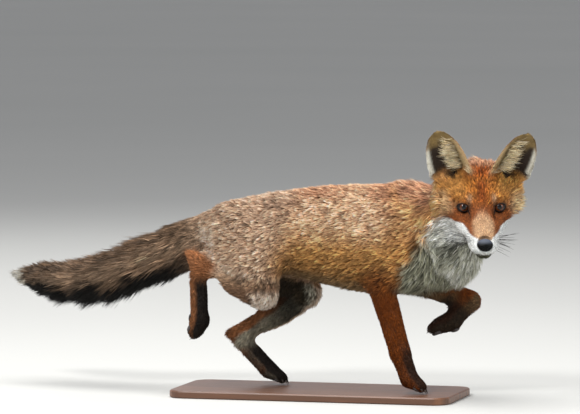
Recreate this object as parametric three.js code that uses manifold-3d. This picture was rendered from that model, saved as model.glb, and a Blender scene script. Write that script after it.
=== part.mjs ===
// A life-size red fox in a slow walk, on a flat display base: a vixen in her summer coat.
// She stands on her right forefoot and left hind foot, with the other two feet lifted,
// and turns her head to her right. Lengths are in millimetres; +X is forward, +Y is her left
// and +Z is up. The origin is the middle of the base's underside.
//
// The animal is one smooth surface around soft forms laid along her bones, out to the tips of her
// coat. Each named piece is that surface, meshed at its own fineness and cut from its neighbours
// by thin gaps.
import * as THREE from "three";
import { mergeVertices } from "three/addons/utils/BufferGeometryUtils.js";
import { SimplifyModifier } from "three/addons/modifiers/SimplifyModifier.js";
import Module from "manifold-3d";

const wasm = await Module();
wasm.setup();

// ---------------------------------------------------------------- driving dimensions
const gap = 0.4; // between neighbouring pieces
const base = { length: 460, width: 190, thickness: 12, corner: 26, bevel: 2 };
const eye = { radius: 9.4, forward: -7.5, apart: 28.2, up: -1.5 };
const ear = {
  length: 92,
  halfWidth: 36,
  thickness: 4.4,
  depth: 24,
  rise: { left: [-0.1, 0.36, 0.92], right: [-0.2, -0.31, 0.93] }, // which way each ear stands
};

// How finely each kind of piece is meshed, and how many triangles it keeps.
const detail = {
  head: { cell: 3.6, triangles: 2340 },
  nose: { cell: 1.9, triangles: 220 },
  neck: { cell: 6, triangles: 900 },
  trunk: { cell: 8, triangles: 1560 },
  tail: { cell: 7, triangles: 320 },
  thigh: { cell: 6.5, triangles: 420 },
  limb: { cell: 4.6, triangles: 320 },
  seat: { cell: 5, triangles: 300 },
  foot: { cell: 3.1, triangles: 480 },
};

const at = (x, y, z) => new THREE.Vector3(x, y, z);
const part = (a, b, share) => a.clone().lerp(b, share); // the place that lies that share of the way
const acrossBody = at(0, 1, 0);
const degrees = THREE.MathUtils.degToRad;

// ---------------------------------------------------------------- the pose: where the joints are
const joint = {
  right: {
    shoulder: at(188, -42, 236),
    elbow: at(112, -50, 176),
    wrist: at(142, -42, 66),
    knuckle: at(157, -41, 24),
    toe: at(178, -41, 10),
    hip: at(-130, -34, 252),
    knee: at(-81, -52, 157),
    hock: at(-191, -44, 204),
    hockPoint: at(-203, -44, 214),
    ball: at(-188, -42, 110),
    hindToe: at(-196, -42, 88),
  },
  left: {
    shoulder: at(188, 42, 236),
    elbow: at(150, 50, 172),
    wrist: at(235, 47, 142),
    knuckle: at(207, 45, 110),
    toe: at(176, 45, 97),
    hip: at(-118, 34, 250),
    knee: at(-36, 46, 152),
    hock: at(-145, 40, 74),
    hockPoint: at(-160, 40, 82),
    ball: at(-96, 40, 24),
    hindToe: at(-72, 40, 10),
  },
};

// The head's own frame: forward is where the nose points, up is through the crown.
const head = { centre: at(285.5, -91.5, 300.5), turnDegrees: -71.3, dropDegrees: 24 };
const headFrame = new THREE.Matrix4()
  .makeTranslation(head.centre)
  .multiply(new THREE.Matrix4().makeRotationZ(degrees(head.turnDegrees)))
  .multiply(new THREE.Matrix4().makeRotationY(degrees(head.dropDegrees)));
const onHead = (forward, side, up) => at(forward, side, up).applyMatrix4(headFrame);
const headAxis = (forward, side, up) => at(forward, side, up).transformDirection(headFrame);

// ---------------------------------------------------------------- soft forms
// A form is a distance function and the radius over which it melts into the others.

// A body along a smooth line through stations [place, half width, half depth].
// The width is measured along the side axis, and the depth square to it.
function along(stations, { side = acrossBody, steps = 4, melt = 12 } = {}) {
  const line = new THREE.CatmullRomCurve3(stations.map((s) => s[0]), false, "centripetal");
  const count = (stations.length - 1) * steps;
  const rings = [];
  for (let i = 0; i <= count; i++) {
    const k = Math.min(Math.floor(i / steps), stations.length - 2);
    const t = i / steps - k;
    const eased = (t + THREE.MathUtils.smoothstep(t, 0, 1)) / 2;
    rings.push({
      place: line.getPoint(i / count),
      width: THREE.MathUtils.lerp(stations[k][1], stations[k + 1][1], eased),
      depth: THREE.MathUtils.lerp(stations[k][2], stations[k + 1][2], eased),
    });
  }
  const distance = (x, y, z) => {
    let nearest = Infinity;
    for (let i = 0; i < count; i++) {
      const a = rings[i];
      const b = rings[i + 1];
      const ex = b.place.x - a.place.x;
      const ey = b.place.y - a.place.y;
      const ez = b.place.z - a.place.z;
      const px = x - a.place.x;
      const py = y - a.place.y;
      const pz = z - a.place.z;
      const t = Math.min(1, Math.max(0, (px * ex + py * ey + pz * ez) / (ex * ex + ey * ey + ez * ez)));
      const qx = px - t * ex;
      const qy = py - t * ey;
      const qz = pz - t * ez;
      const w = a.width + t * (b.width - a.width);
      const d = a.depth + t * (b.depth - a.depth);
      const across = qx * side.x + qy * side.y + qz * side.z;
      const rest = Math.sqrt(Math.max(0, qx * qx + qy * qy + qz * qz - across * across));
      nearest = Math.min(nearest, ellipticDistance(across, rest, 0, w, d, d));
    }
    return nearest;
  };
  return { distance, melt };
}

function ellipticDistance(x, y, z, a, b, c) {
  const near = Math.hypot(x / a, y / b, z / c);
  if (near < 1e-6) return -Math.min(a, b, c);
  return (near * (near - 1)) / Math.hypot(x / (a * a), y / (b * b), z / (c * c));
}

// An ellipsoid whose radii lie along the axes of a frame.
function bulge(place, radii, { axes = null, melt = 12 } = {}) {
  const [ax, ay, az] = axes ?? [at(1, 0, 0), at(0, 1, 0), at(0, 0, 1)];
  const distance = (x, y, z) => {
    const q = at(x, y, z).sub(place);
    return ellipticDistance(q.dot(ax), q.dot(ay), q.dot(az), radii[0], radii[1], radii[2]);
  };
  return { distance, melt };
}

const headAxes = [headAxis(1, 0, 0), headAxis(0, 1, 0), headAxis(0, 0, 1)];
const headBulge = (place, radii, melt = 8) => bulge(onHead(...place), radii, { axes: headAxes, melt });

const meltTogether = (a, b, k) => {
  const h = Math.max(k - Math.abs(a - b), 0) / k;
  return Math.min(a, b) - (h * h * k) / 4;
};
const carve = (a, hollow, k) => -meltTogether(-a, hollow, k);

// One surface from a list of forms: below zero is inside.
function surfaceOf(forms, hollows = []) {
  return (x, y, z) => {
    let d = forms[0].distance(x, y, z);
    for (let i = 1; i < forms.length; i++) d = meltTogether(d, forms[i].distance(x, y, z), forms[i].melt);
    for (const hollow of hollows) d = carve(d, hollow.distance(x, y, z), hollow.melt);
    return d;
  };
}

// ---------------------------------------------------------------- trunk, neck and tail
const trunkForms = [
  along(
    [
      [at(-166, 0, 250), 36, 34],
      [at(-148, 0, 248), 50, 47],
      [at(-120, 0, 248), 57, 56],
      [at(-76, 0, 250), 58, 66],
      [at(-14, 0, 249), 59, 76],
      [at(46, 0, 245), 64, 86],
      [at(96, 0, 242), 66, 91],
      [at(140, 0, 243), 62, 90],
      [at(176, 0, 240), 54, 78],
      [at(208, -3, 230), 46, 60],
    ],
    { melt: 20 },
  ),
  ...[1, -1].map((s) => bulge(at(142, s * 40, 252), [46, 26, 62], { melt: 24 })), // shoulder blades
  ...[1, -1].map((s) => bulge(at(172, s * 38, 226), [40, 26, 42], { melt: 24 })), // points of the shoulders
  bulge(at(211, -6, 216), [41, 45, 45], { melt: 26 }), // breast and its ruff
];

const neckForms = [
  along(
    [
      [at(158, 0, 268), 52, 62],
      [at(204, -4, 268), 51, 60],
      [at(238, -14, 280), 50, 56],
      [onHead(-72, 0, 0), 48, 47],
    ],
    { melt: 26 },
  ),
  bulge(at(234, -31, 244), [32, 35, 43], { melt: 26 }), // throat ruff
];

const tailStations = [
  [at(-160, 0, 257), 27, 31],
  [at(-190, 1, 243), 29, 37],
  [at(-222, 3, 228), 36, 43],
  [at(-260, 7, 211), 40, 46],
  [at(-300, 13, 195), 41, 45],
  [at(-340, 21, 179), 40, 43],
  [at(-380, 31, 167), 38, 40],
  [at(-420, 43, 161), 35, 37],
  [at(-458, 55, 160), 29, 32],
  [at(-492, 65, 163), 20, 22],
  [at(-524, 74, 166), 7, 7],
];
const tailForms = [along(tailStations, { melt: 16 })];

// ---------------------------------------------------------------- legs
function foreleg(j) {
  return [
    along([[j.shoulder, 30, 36], [j.elbow, 23, 26]], { melt: 24 }),
    along(
      [
        [j.elbow, 20, 23],
        [part(j.elbow, j.wrist, 0.35), 17.5, 21],
        [part(j.elbow, j.wrist, 0.75), 15.5, 19],
        [j.wrist, 15.5, 18],
      ],
      { melt: 14 },
    ),
    along([[j.wrist, 15, 17], [j.knuckle, 17, 15.5]], { melt: 8 }),
  ];
}

function hindleg(j) {
  return [
    along([[j.hip, 34, 50], [part(j.hip, j.knee, 0.55), 34, 48], [j.knee, 28, 30]], { melt: 26 }),
    along(
      [
        [j.knee, 27, 29],
        [part(j.knee, j.hock, 0.38), 23, 28],
        [part(j.knee, j.hock, 0.78), 14, 16],
        [j.hock, 13.5, 14],
      ],
      { melt: 16 },
    ),
    along([[part(j.knee, j.hockPoint, 0.7), 8, 9], [j.hockPoint, 9.5, 9.5]], { melt: 8 }), // heel tendon
    along([[j.hock, 13, 14], [part(j.hock, j.ball, 0.5), 13, 15.5], [j.ball, 16, 15]], { melt: 8 }),
  ];
}

// A paw: four toes spread from the ball of the foot, with short claws and pads below.
function toesOf(ball, tip, width, down, bulk = 1) {
  const forward = tip.clone().sub(ball).normalize();
  const side = forward.clone().cross(down).normalize();
  const length = tip.distanceTo(ball);
  const palm = [
    [ball, width * 0.92, 13 * bulk],
    [part(ball, tip, 0.7), width * 0.9, 10.5 * bulk],
  ];
  const made = [along(palm, { side, melt: 6 })];
  [-0.72, -0.26, 0.26, 0.72].forEach((spread, i) => {
    const inner = i === 1 || i === 2;
    const start = ball.clone().addScaledVector(side, spread * width * 0.8);
    const end = ball
      .clone()
      .addScaledVector(forward, length * (inner ? 1.02 : 0.82))
      .addScaledVector(side, spread * width);
    const toe = [
      [start, 7.5, 10 * bulk],
      [part(start, end, 0.6), 7.4, 9.5 * bulk],
      [end, 6.8, 7.6 * bulk],
    ];
    made.push(along(toe, { side, melt: 3.5 }));
  });
  return made;
}

const straightDown = at(0, 0, -1);
const legs = {
  right: {
    fore: foreleg(joint.right),
    hind: hindleg(joint.right),
    forepaw: toesOf(joint.right.knuckle, joint.right.toe, 17, straightDown),
    hindpaw: toesOf(joint.right.ball, joint.right.hindToe, 16, at(-1, 0, 0), 1.3),
  },
  left: {
    fore: foreleg(joint.left),
    hind: hindleg(joint.left),
    forepaw: toesOf(joint.left.knuckle, joint.left.toe, 17, at(0.45, 0, -0.9), 1.35),
    hindpaw: toesOf(joint.left.ball, joint.left.hindToe, 16, straightDown),
  },
};

// ---------------------------------------------------------------- head
const eachSide = (make) => [1, -1].map(make);
const skullForms = [
  along(
    [
      [onHead(-58, 0, 6), 53, 40],
      [onHead(-40, 0, 5), 49, 37],
      [onHead(-24, 0, -1), 41, 31],
      [onHead(-8, 0, -11), 32, 24],
      [onHead(10, 0, -19), 27, 20],
      [onHead(36, 0, -27), 21.5, 17.5],
      [onHead(58, 0, -32), 18, 15],
      [onHead(67, 0, -33), 14, 12],
    ],
    { side: headAxes[1], melt: 16 },
  ), // braincase and muzzle
  ...eachSide((s) => headBulge([-54, s * 43, -2], [25, 26, 24], 16)), // temples
  ...eachSide((s) => headBulge([-67, s * 50, 14], [14, 20, 20], 14)), // mounds behind the ears
  ...eachSide((s) => headBulge([-45, s * 40, -13], [28, 32, 31], 20)), // cheek ruffs
  ...eachSide((s) => headBulge([-14, s * 22, -30], [32, 21, 19], 18)), // jaw muscles
  ...eachSide((s) => headBulge([10, s * 19, -26], [28, 13, 13], 16)), // sides of the muzzle
  ...eachSide((s) => headBulge([-15, s * 33, -13], [16, 16, 12], 14)), // cheekbones
  ...eachSide((s) => headBulge([-14, s * 26, 10], [12, 15, 8], 10)), // brows
  ...eachSide((s) => headBulge([45, s * 12.5, -37], [22, 13, 11.5], 6)), // whisker pads
  along(
    [
      [onHead(-36, 0, -40), 33, 17],
      [onHead(0, 0, -46), 22, 12],
      [onHead(36, 0, -49), 15, 8.5],
      [onHead(57, 0, -50), 11.5, 7],
    ],
    { side: headAxes[1], melt: 6 },
  ), // lower jaw
];
const skullHollows = [
  ...eachSide((s) => headBulge([10, s * 25, -4], [16, 5.5, 8], 10)), // between the eyes and the muzzle
];

const noseForms = [
  headBulge([71, 0, -27.5], [9, 12.6, 9.6], 4),
  headBulge([66, 0, -22.5], [10, 10.5, 7], 4),
];

// An ear is a closed sphere pressed into a rounded, pointed cup: its poles are the root and the tip.
function earGeometry(s) {
  const shape = new THREE.SphereGeometry(1, 20, 11);
  const points = shape.getAttribute("position");
  const root = onHead(-43, s * 40.5, 21.5);
  const rise = headAxis(...ear.rise[s > 0 ? "left" : "right"]).normalize();
  const opening = headAxis(0.9, s * 0.34, 0.22);
  opening.addScaledVector(rise, -opening.dot(rise)).normalize();
  const across = rise.clone().cross(opening).normalize();
  for (let i = 0; i < points.count; i++) {
    const rising = Math.asin(THREE.MathUtils.clamp(points.getY(i), -1, 1)) / Math.PI + 0.5; // 0 root, 1 tip
    const around = Math.atan2(points.getZ(i), points.getX(i));
    const edge = Math.cos(around);
    const closing = Math.sqrt(Math.min(1, rising / 0.16));
    const half = ear.halfWidth * Math.pow(Math.max(0, 1 - Math.pow(rising, 3.2)), 0.56) * closing;
    const depth = ear.depth * (1 - 0.85 * rising) * closing;
    const thick = (ear.thickness / 2) * Math.pow(Math.sin(Math.PI * rising), 0.35);
    const place = root
      .clone()
      .addScaledVector(rise, ear.length * rising)
      .addScaledVector(across, half * edge)
      .addScaledVector(opening, -depth * (1 - edge * edge) + thick * Math.sin(around) + 4);
    points.setXYZ(i, place.x, place.y, place.z);
  }
  return shape;
}

// ---------------------------------------------------------------- meshing and cutting
// A closed mesh of a surface inside a box: one vertex in each grid cell that the surface crosses.
function meshOf(surface, box, cell) {
  const low = box.min.clone().subScalar(cell * 1.37);
  const size = box.getSize(at(0, 0, 0)).divideScalar(cell);
  const nx = Math.ceil(size.x) + 4;
  const ny = Math.ceil(size.y) + 4;
  const nz = Math.ceil(size.z) + 4;
  const value = new Float32Array(nx * ny * nz);
  const key = (i, j, k) => (k * ny + j) * nx + i;
  const spot = (i, j, k) => at(low.x + i * cell, low.y + j * cell, low.z + k * cell);
  for (let k = 0; k < nz; k++)
    for (let j = 0; j < ny; j++)
      for (let i = 0; i < nx; i++) {
        const rim = i < 1 || j < 1 || k < 1 || i > nx - 2 || j > ny - 2 || k > nz - 2;
        const p = spot(i, j, k);
        value[key(i, j, k)] = rim ? cell : surface(p.x, p.y, p.z);
      }
  const vertexOf = new Map();
  const places = [];
  for (let k = 0; k < nz - 1; k++)
    for (let j = 0; j < ny - 1; j++)
      for (let i = 0; i < nx - 1; i++) {
        const sum = at(0, 0, 0);
        let crossings = 0;
        for (let c = 0; c < 8; c++)
          for (const step of [1, 2, 4]) {
            if (c & step) continue;
            const [a, b] = [c, c | step].map((m) => [i + (m & 1), j + ((m >> 1) & 1), k + ((m >> 2) & 1)]);
            const va = value[key(...a)];
            const vb = value[key(...b)];
            if (va < 0 === vb < 0) continue;
            sum.add(spot(...a).lerp(spot(...b), va / (va - vb)));
            crossings++;
          }
        if (!crossings) continue;
        vertexOf.set(key(i, j, k), places.length);
        places.push(settle(sum.divideScalar(crossings), surface, cell));
      }
  const faces = [];
  const ring = {
    x: [[0, -1, -1], [0, 0, -1], [0, 0, 0], [0, -1, 0]],
    y: [[-1, 0, -1], [-1, 0, 0], [0, 0, 0], [0, 0, -1]],
    z: [[-1, -1, 0], [0, -1, 0], [0, 0, 0], [-1, 0, 0]],
  };
  const next = { x: [1, 0, 0], y: [0, 1, 0], z: [0, 0, 1] };
  for (let k = 0; k < nz - 1; k++)
    for (let j = 0; j < ny - 1; j++)
      for (let i = 0; i < nx - 1; i++)
        for (const axis of ["x", "y", "z"]) {
          const [dx, dy, dz] = next[axis];
          const inside = value[key(i, j, k)] < 0;
          if (inside === value[key(i + dx, j + dy, k + dz)] < 0) continue;
          const corners = ring[axis].map(([a, b, c]) => vertexOf.get(key(i + a, j + b, k + c)));
          if (!inside) corners.reverse();
          const [p, q, r, s] = corners;
          const even = places[p].distanceTo(places[r]) <= places[q].distanceTo(places[s]);
          faces.push(...(even ? [p, q, r, p, r, s] : [p, q, s, q, r, s]));
        }
  const geometry = new THREE.BufferGeometry().setFromPoints(places);
  geometry.setIndex(faces);
  return geometry;
}

// Moves a point onto the surface, by less than half a cell.
function settle(p, surface, cell) {
  const e = 0.2;
  for (let n = 0; n < 2; n++) {
    const d = surface(p.x, p.y, p.z);
    const slope = at(
      surface(p.x + e, p.y, p.z) - surface(p.x - e, p.y, p.z),
      surface(p.x, p.y + e, p.z) - surface(p.x, p.y - e, p.z),
      surface(p.x, p.y, p.z + e) - surface(p.x, p.y, p.z - e),
    ).divideScalar(2 * e);
    const move = d / Math.max(slope.lengthSq(), 0.3);
    p.addScaledVector(slope, -THREE.MathUtils.clamp(move, -0.3 * cell, 0.3 * cell));
  }
  return p;
}

function solidOf(geometry) {
  const bare = geometry.clone();
  bare.deleteAttribute("normal");
  bare.deleteAttribute("uv");
  const merged = mergeVertices(bare, 1e-4);
  return new wasm.Manifold(
    new wasm.Mesh({
      numProp: 3,
      vertProperties: merged.attributes.position.array,
      triVerts: new Uint32Array(merged.index.array),
    }),
  );
}

function geometryOf(solid) {
  const mesh = solid.getMesh();
  const places = new Float32Array(mesh.numVert * 3);
  for (let i = 0; i < mesh.numVert; i++)
    places.set(mesh.vertProperties.subarray(i * mesh.numProp, i * mesh.numProp + 3), i * 3);
  return new THREE.BufferGeometry()
    .setAttribute("position", new THREE.BufferAttribute(places, 3))
    .setIndex(new THREE.BufferAttribute(mesh.triVerts, 1));
}

// A cut is a long block. Its near face passes through a place, square to a direction, and its
// reach to each side and up and down keeps it off the rest of the animal.
function cutAt(place, direction, { wide = [-35, 35], tall = [-35, 35], up = at(0, 0, 1) } = {}) {
  const x = direction.clone().normalize();
  const y = up.clone().cross(x).normalize();
  const basis = new THREE.Matrix4().makeBasis(x, y, x.clone().cross(y)).setPosition(place);
  const reach = 400;
  const block = (inset) => {
    const size = at(reach - inset, wide[1] - wide[0] - 2 * inset, tall[1] - tall[0] - 2 * inset);
    const box = new THREE.BoxGeometry(...size.toArray());
    box.translate((reach + inset) / 2, (wide[0] + wide[1]) / 2, (tall[0] + tall[1]) / 2);
    return solidOf(box.applyMatrix4(basis));
  };
  return { beyond: block(gap / 2), before: block(-gap / 2) };
}

const boxAround = (points, margin) => new THREE.Box3().setFromPoints(points).expandByScalar(margin);
const largest = (solid) => solid.decompose().sort((a, b) => b.volume() - a.volume())[0];

// A solid within a surface, with about so many triangles.
async function solidWithin(surface, box, { cell, triangles }) {
  const fine = meshOf(surface, box, cell);
  const spare = Math.max(0, Math.round(fine.getAttribute("position").count - triangles / 2));
  return solidOf(await new SimplifyModifier().modify(fine, spare));
}

// A piece of the animal: what lies beyond some cuts and before others.
async function pieceOf(surface, box, fineness, beyond = [], before = []) {
  let solid = await solidWithin(surface, box, fineness);
  for (const cut of beyond) solid = solid.intersect(cut.beyond);
  for (const cut of before) solid = solid.subtract(cut.before);
  return largest(solid);
}

// ---------------------------------------------------------------- where the pieces part
const heading = (a, b) => b.clone().sub(a);

const tailCut = (i) =>
  cutAt(tailStations[i][0], heading(tailStations[i - 1][0], tailStations[i + 1][0]), {
    wide: [-60, 60],
    tall: [-60, 60],
  });
const cuts = {
  head: cutAt(onHead(-71, 0, 0), headAxis(0.95, 0.3, 0), {
    wide: [-74, 110],
    tall: [-64, 100],
    up: headAxes[2],
  }),
  neck: cutAt(at(184, 0, 262), at(0.85, 0, 0.53), { wide: [-100, 100], tall: [-115, 115] }),
  tailRoot: tailCut(1),
  tailMiddle: tailCut(4),
  tailTip: tailCut(7),
};
const thighCuts = {
  right: cutAt(at(-118, -47, 196), at(-0.2, 0, -0.98), { wide: [-45, 45], tall: [-84, 84] }),
  left: cutAt(at(-93, 47, 190), at(-0.2, 0, -0.98), { wide: [-45, 45], tall: [-108, 108] }),
};

// A shank or forearm starts a little below its joint, in a seat inside the piece above.
const seatShare = 0.12; // of the way down the limb
const seatRoom = 2.2; // around the limb in its seat
function limbOf(forms, from, to, box) {
  const cut = cutAt(part(from, to, seatShare), heading(from, to));
  return { surface: surfaceOf(forms), box, cut };
}
const limbs = {};
for (const [hand, j] of Object.entries(joint)) {
  const { hind, fore } = legs[hand];
  limbs["shank_" + hand] = {
    ...limbOf(hind.slice(1), j.knee, j.hock, boxAround([j.knee, j.hock, j.hockPoint], 40)),
    foot: cutAt(part(j.hock, j.ball, 0.3), heading(j.hock, j.ball)),
  };
  limbs["forearm_" + hand] = {
    ...limbOf(fore.slice(1), j.elbow, j.wrist, boxAround([j.elbow, j.wrist], 36)),
    foot: cutAt(part(j.wrist, j.knuckle, 0.25), heading(j.wrist, j.knuckle)),
  };
}

// ---------------------------------------------------------------- the animal
const fox = new THREE.Group();
fox.position.z = base.thickness + gap;

const material = (color, roughness) => new THREE.MeshStandardMaterial({ color, roughness, metalness: 0 });
const coat = {
  red: material("#b5672c", 0.8),
  grizzled: material("#a98561", 0.85),
  white: material("#d9d3c8", 0.85),
  dark: material("#3b2a22", 0.8),
};
const wet = material("#17130f", 0.3);
const eyeFinish = material("#4a2608", 0.1);
const wood = material("#a8825a", 0.55);

function add(name, solid, finish, group = fox) {
  const mesh = new THREE.Mesh(geometryOf(solid), finish);
  mesh.name = name;
  group.add(mesh);
}

const grown = (surface, by) => (x, y, z) => surface(x, y, z) - by;
const seats = {};
for (const [name, { surface, box, cut }] of Object.entries(limbs)) {
  const room = await solidWithin(grown(surface, seatRoom), box, detail.seat);
  seats[name] = { before: room.intersect(cut.before) };
}

const upperLegs = Object.values(legs).flatMap((leg) => [leg.fore[0], leg.hind[0]]);
const bodySurface = surfaceOf([...trunkForms, ...neckForms, ...tailForms, ...upperLegs]);
const bodyBox = new THREE.Box3(at(-240, -112, 96), at(300, 112, 350));
const bodyCuts = [cuts.neck, cuts.tailRoot, ...Object.values(thighCuts), ...Object.values(seats)];
add("trunk", await pieceOf(bodySurface, bodyBox, detail.trunk, [], bodyCuts), coat.red);

const neckSurface = surfaceOf([...trunkForms, ...neckForms, ...skullForms]);
const neckBox = boxAround([at(150, 0, 330), at(262, 0, 170), onHead(-40, -70, 60), onHead(-10, 60, -80)], 30);
add("neck", await pieceOf(neckSurface, neckBox, detail.neck, [cuts.neck], [cuts.head]), coat.white);

const tailSurface = surfaceOf([...tailForms, trunkForms[0]]);
const tailLengths = [
  ["tail_root", 0, 5, [cuts.tailRoot], [cuts.tailMiddle], coat.grizzled],
  ["tail_middle", 3, 8, [cuts.tailMiddle], [cuts.tailTip], coat.grizzled],
  ["tail_tip", 6, 10, [cuts.tailTip], [], coat.dark],
];
for (const [name, first, last, beyond, before, finish] of tailLengths) {
  const box = boxAround(tailStations.slice(first, last + 1).map((station) => station[0]), 50);
  add(name, await pieceOf(tailSurface, box, detail.tail, beyond, before), finish);
}

// The half space above the floor gives a planted foot its flat sole.
const aboveFloor = { beyond: solidOf(new THREE.BoxGeometry(1400, 1400, 500).translate(0, 0, 250)) };

for (const [hand, j] of Object.entries(joint)) {
  const leg = legs[hand];
  const shank = limbs["shank_" + hand];
  const forearm = limbs["forearm_" + hand];
  const thighSurface = surfaceOf([...trunkForms, leg.hind[0]]);
  const thighBox = boxAround([j.knee, at(j.hip.x - 70, j.hip.y, 205)], 60);
  const seat = seats["shank_" + hand];
  const thigh = await pieceOf(thighSurface, thighBox, detail.thigh, [thighCuts[hand]], [seat]);
  add("thigh_" + hand, thigh, coat.grizzled);
  for (const [name, limb] of [["shank_", shank], ["forearm_", forearm]])
    add(name + hand, await pieceOf(limb.surface, limb.box, detail.limb, [limb.cut], [limb.foot]), coat.red);
  const feet = [
    ["hindfoot_", [...leg.hind.slice(1), ...leg.hindpaw], [j.hock, j.ball, j.hindToe], shank.foot],
    ["forefoot_", [...leg.fore.slice(1), ...leg.forepaw], [j.wrist, j.knuckle, j.toe], forearm.foot],
  ];
  for (const [name, forms, points, cut] of feet) {
    const foot = await pieceOf(surfaceOf(forms), boxAround(points, 34), detail.foot, [cut, aboveFloor]);
    add(name + hand, foot, coat.dark);
  }
}

// The head carries its ears, eyes and nose as pieces of their own.
const headSurface = surfaceOf([...skullForms, ...neckForms], skullHollows);
const headBox = boxAround([onHead(-90, -90, 70), onHead(-90, 90, -80), onHead(86, 30, -60)], 12);
const noseSurface = surfaceOf(noseForms);
const noseBox = boxAround([onHead(54, -16, -40), onHead(84, 16, -12)], 8);
add("nose", await pieceOf(noseSurface, noseBox, detail.nose), wet);

const noseSeat = await solidWithin(grown(noseSurface, gap * 1.5), noseBox, detail.nose);
let skull = await solidWithin(headSurface, headBox, detail.head);
skull = skull.intersect(cuts.head.beyond).subtract(noseSeat);
const headSeat = await solidWithin(grown(headSurface, gap * 1.5), headBox, detail.head);
const sphereAt = (place, radius) =>
  solidOf(new THREE.SphereGeometry(radius, 14, 8).translate(...place.toArray()));
for (const [hand, s] of [["right", -1], ["left", 1]]) {
  const spot = onHead(eye.forward, s * eye.apart, eye.up);
  skull = skull.subtract(sphereAt(spot, eye.radius + gap));
  add("eye_" + hand, sphereAt(spot, eye.radius), eyeFinish);
  add("ear_" + hand, largest(solidOf(earGeometry(s)).subtract(headSeat)), coat.dark);
}
add("head", largest(skull), coat.red);

// ---------------------------------------------------------------- the display base
function baseGeometry() {
  const { length, width, corner, bevel, thickness } = base;
  const x = length / 2 - bevel;
  const y = width / 2 - bevel;
  const outline = new THREE.Shape();
  outline.moveTo(-x + corner, -y).lineTo(x - corner, -y);
  outline.absarc(x - corner, -y + corner, corner, -Math.PI / 2, 0);
  outline.absarc(x - corner, y - corner, corner, 0, Math.PI / 2);
  outline.absarc(-x + corner, y - corner, corner, Math.PI / 2, Math.PI);
  outline.absarc(-x + corner, -y + corner, corner, Math.PI, 1.5 * Math.PI);
  return new THREE.ExtrudeGeometry(outline, {
    depth: thickness - 2 * bevel,
    bevelThickness: bevel,
    bevelSize: bevel,
    bevelSegments: 1,
    curveSegments: 3,
  }).translate(0, 0, bevel);
}

const whole = new THREE.Group();
whole.add(fox);
add("stand_base", solidOf(baseGeometry()), wood, whole);

export default whole;
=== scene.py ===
# A life-size red fox in mid-stride on a display base: its skin, its coat of tufts, its eyes, ears,
# nose, lips, whiskers, claws and pads, the wooden base and the studio. Blender lengths are metres.
# Places on the fox are written in millimetres, and places on its head in the head's own axes, which
# run forward, to its left and up from the point midway between its eyes.
import math
import bmesh
import bpy
import numpy as np
from mathutils import Matrix, Vector
from mathutils.bvhtree import BVHTree
from mathutils.kdtree import KDTree


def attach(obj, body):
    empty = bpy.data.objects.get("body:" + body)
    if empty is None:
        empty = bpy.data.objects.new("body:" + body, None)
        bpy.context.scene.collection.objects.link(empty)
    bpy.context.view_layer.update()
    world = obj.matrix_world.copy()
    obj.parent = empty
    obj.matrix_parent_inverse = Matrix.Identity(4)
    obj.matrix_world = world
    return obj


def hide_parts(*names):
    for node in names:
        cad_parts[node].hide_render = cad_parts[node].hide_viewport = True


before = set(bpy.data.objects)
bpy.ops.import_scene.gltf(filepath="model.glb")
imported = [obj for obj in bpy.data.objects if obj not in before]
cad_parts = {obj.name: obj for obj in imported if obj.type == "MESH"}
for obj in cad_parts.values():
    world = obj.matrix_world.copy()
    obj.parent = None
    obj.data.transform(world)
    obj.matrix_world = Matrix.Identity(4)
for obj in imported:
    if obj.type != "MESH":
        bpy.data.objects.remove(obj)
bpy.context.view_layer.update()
print("loaded the CAD frame:", len(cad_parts), "nodes")

mm = 0.001
ground = 12.4  # the soles' height above the underside of the base
dice = np.random.default_rng(7)
hands = {"right": -1, "left": 1}  # the sides of the fox, and the sign of y on each


def spot(x, y, z):
    return Vector((x, y, z + ground)) * mm


headPlace = {"centre": (285.5, -91.5, 300.5), "turn": -71.3, "drop": 24}
headTurn = Matrix.Rotation(math.radians(headPlace["turn"]), 3, "Z") @ Matrix.Rotation(
    math.radians(headPlace["drop"]), 3, "Y"
)
headCentre = spot(*headPlace["centre"])
headAxes = np.array(headTurn)  # its columns are forward, left and up


def onHead(forward, left, up):
    return headCentre + headTurn @ (Vector((forward, left, up)) * mm)


def inHeadAxes(points):
    return (points - np.array(headCentre)) @ headAxes * 1000


def offHeadAxes(head):  # the way back from the head's axes
    return head @ headAxes.T * mm + np.array(headCentre)


joints = {
    "right": {
        "elbow": (112, -50, 176), "wrist": (142, -42, 66), "knuckle": (157, -41, 24), "toe": (178, -41, 10),
        "knee": (-81, -52, 157), "hock": (-191, -44, 204), "ball": (-188, -42, 110),
        "hindToe": (-196, -42, 88),
    },
    "left": {
        "elbow": (150, 50, 172), "wrist": (235, 47, 142), "knuckle": (207, 45, 110), "toe": (176, 45, 97),
        "knee": (-36, 46, 152), "hock": (-145, 40, 74), "ball": (-96, 40, 24), "hindToe": (-72, 40, 10),
    },
}
tailLine = np.array([
    (-160, 0, 257, 29), (-190, 1, 243, 33), (-222, 3, 228, 39), (-260, 7, 211, 43),
    (-300, 13, 195, 43), (-340, 21, 179, 41), (-380, 31, 167, 39), (-420, 43, 161, 36),
    (-458, 55, 160, 30), (-492, 65, 163, 21), (-524, 74, 166, 7),
], float)  # along the tail: place and radius


# small helpers for values at many points
def ramp(value, low, high):  # 0 at low, 1 at high, eased between; low may be the larger
    t = np.clip((value - low) / (high - low), 0, 1)
    return t * t * (3 - 2 * t)


# 1 where every measure is within its edges, eased over them. An edge is (begins, full), and for a
# band (begins, full, still full, ends).
def zone(at, **edges):
    inside = 1.0
    for measure, (begins, full, *ends) in edges.items():
        inside = inside * ramp(at[measure], begins, full)
        if ends:
            inside = inside * (1 - ramp(at[measure], *ends))
    return inside


def bell(value, middle, width):
    return np.exp(-(((value - middle) / width) ** 2))


def mix(a, b, share):
    return np.asarray(a) * (1 - share[:, None]) + np.asarray(b) * share[:, None]


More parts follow.
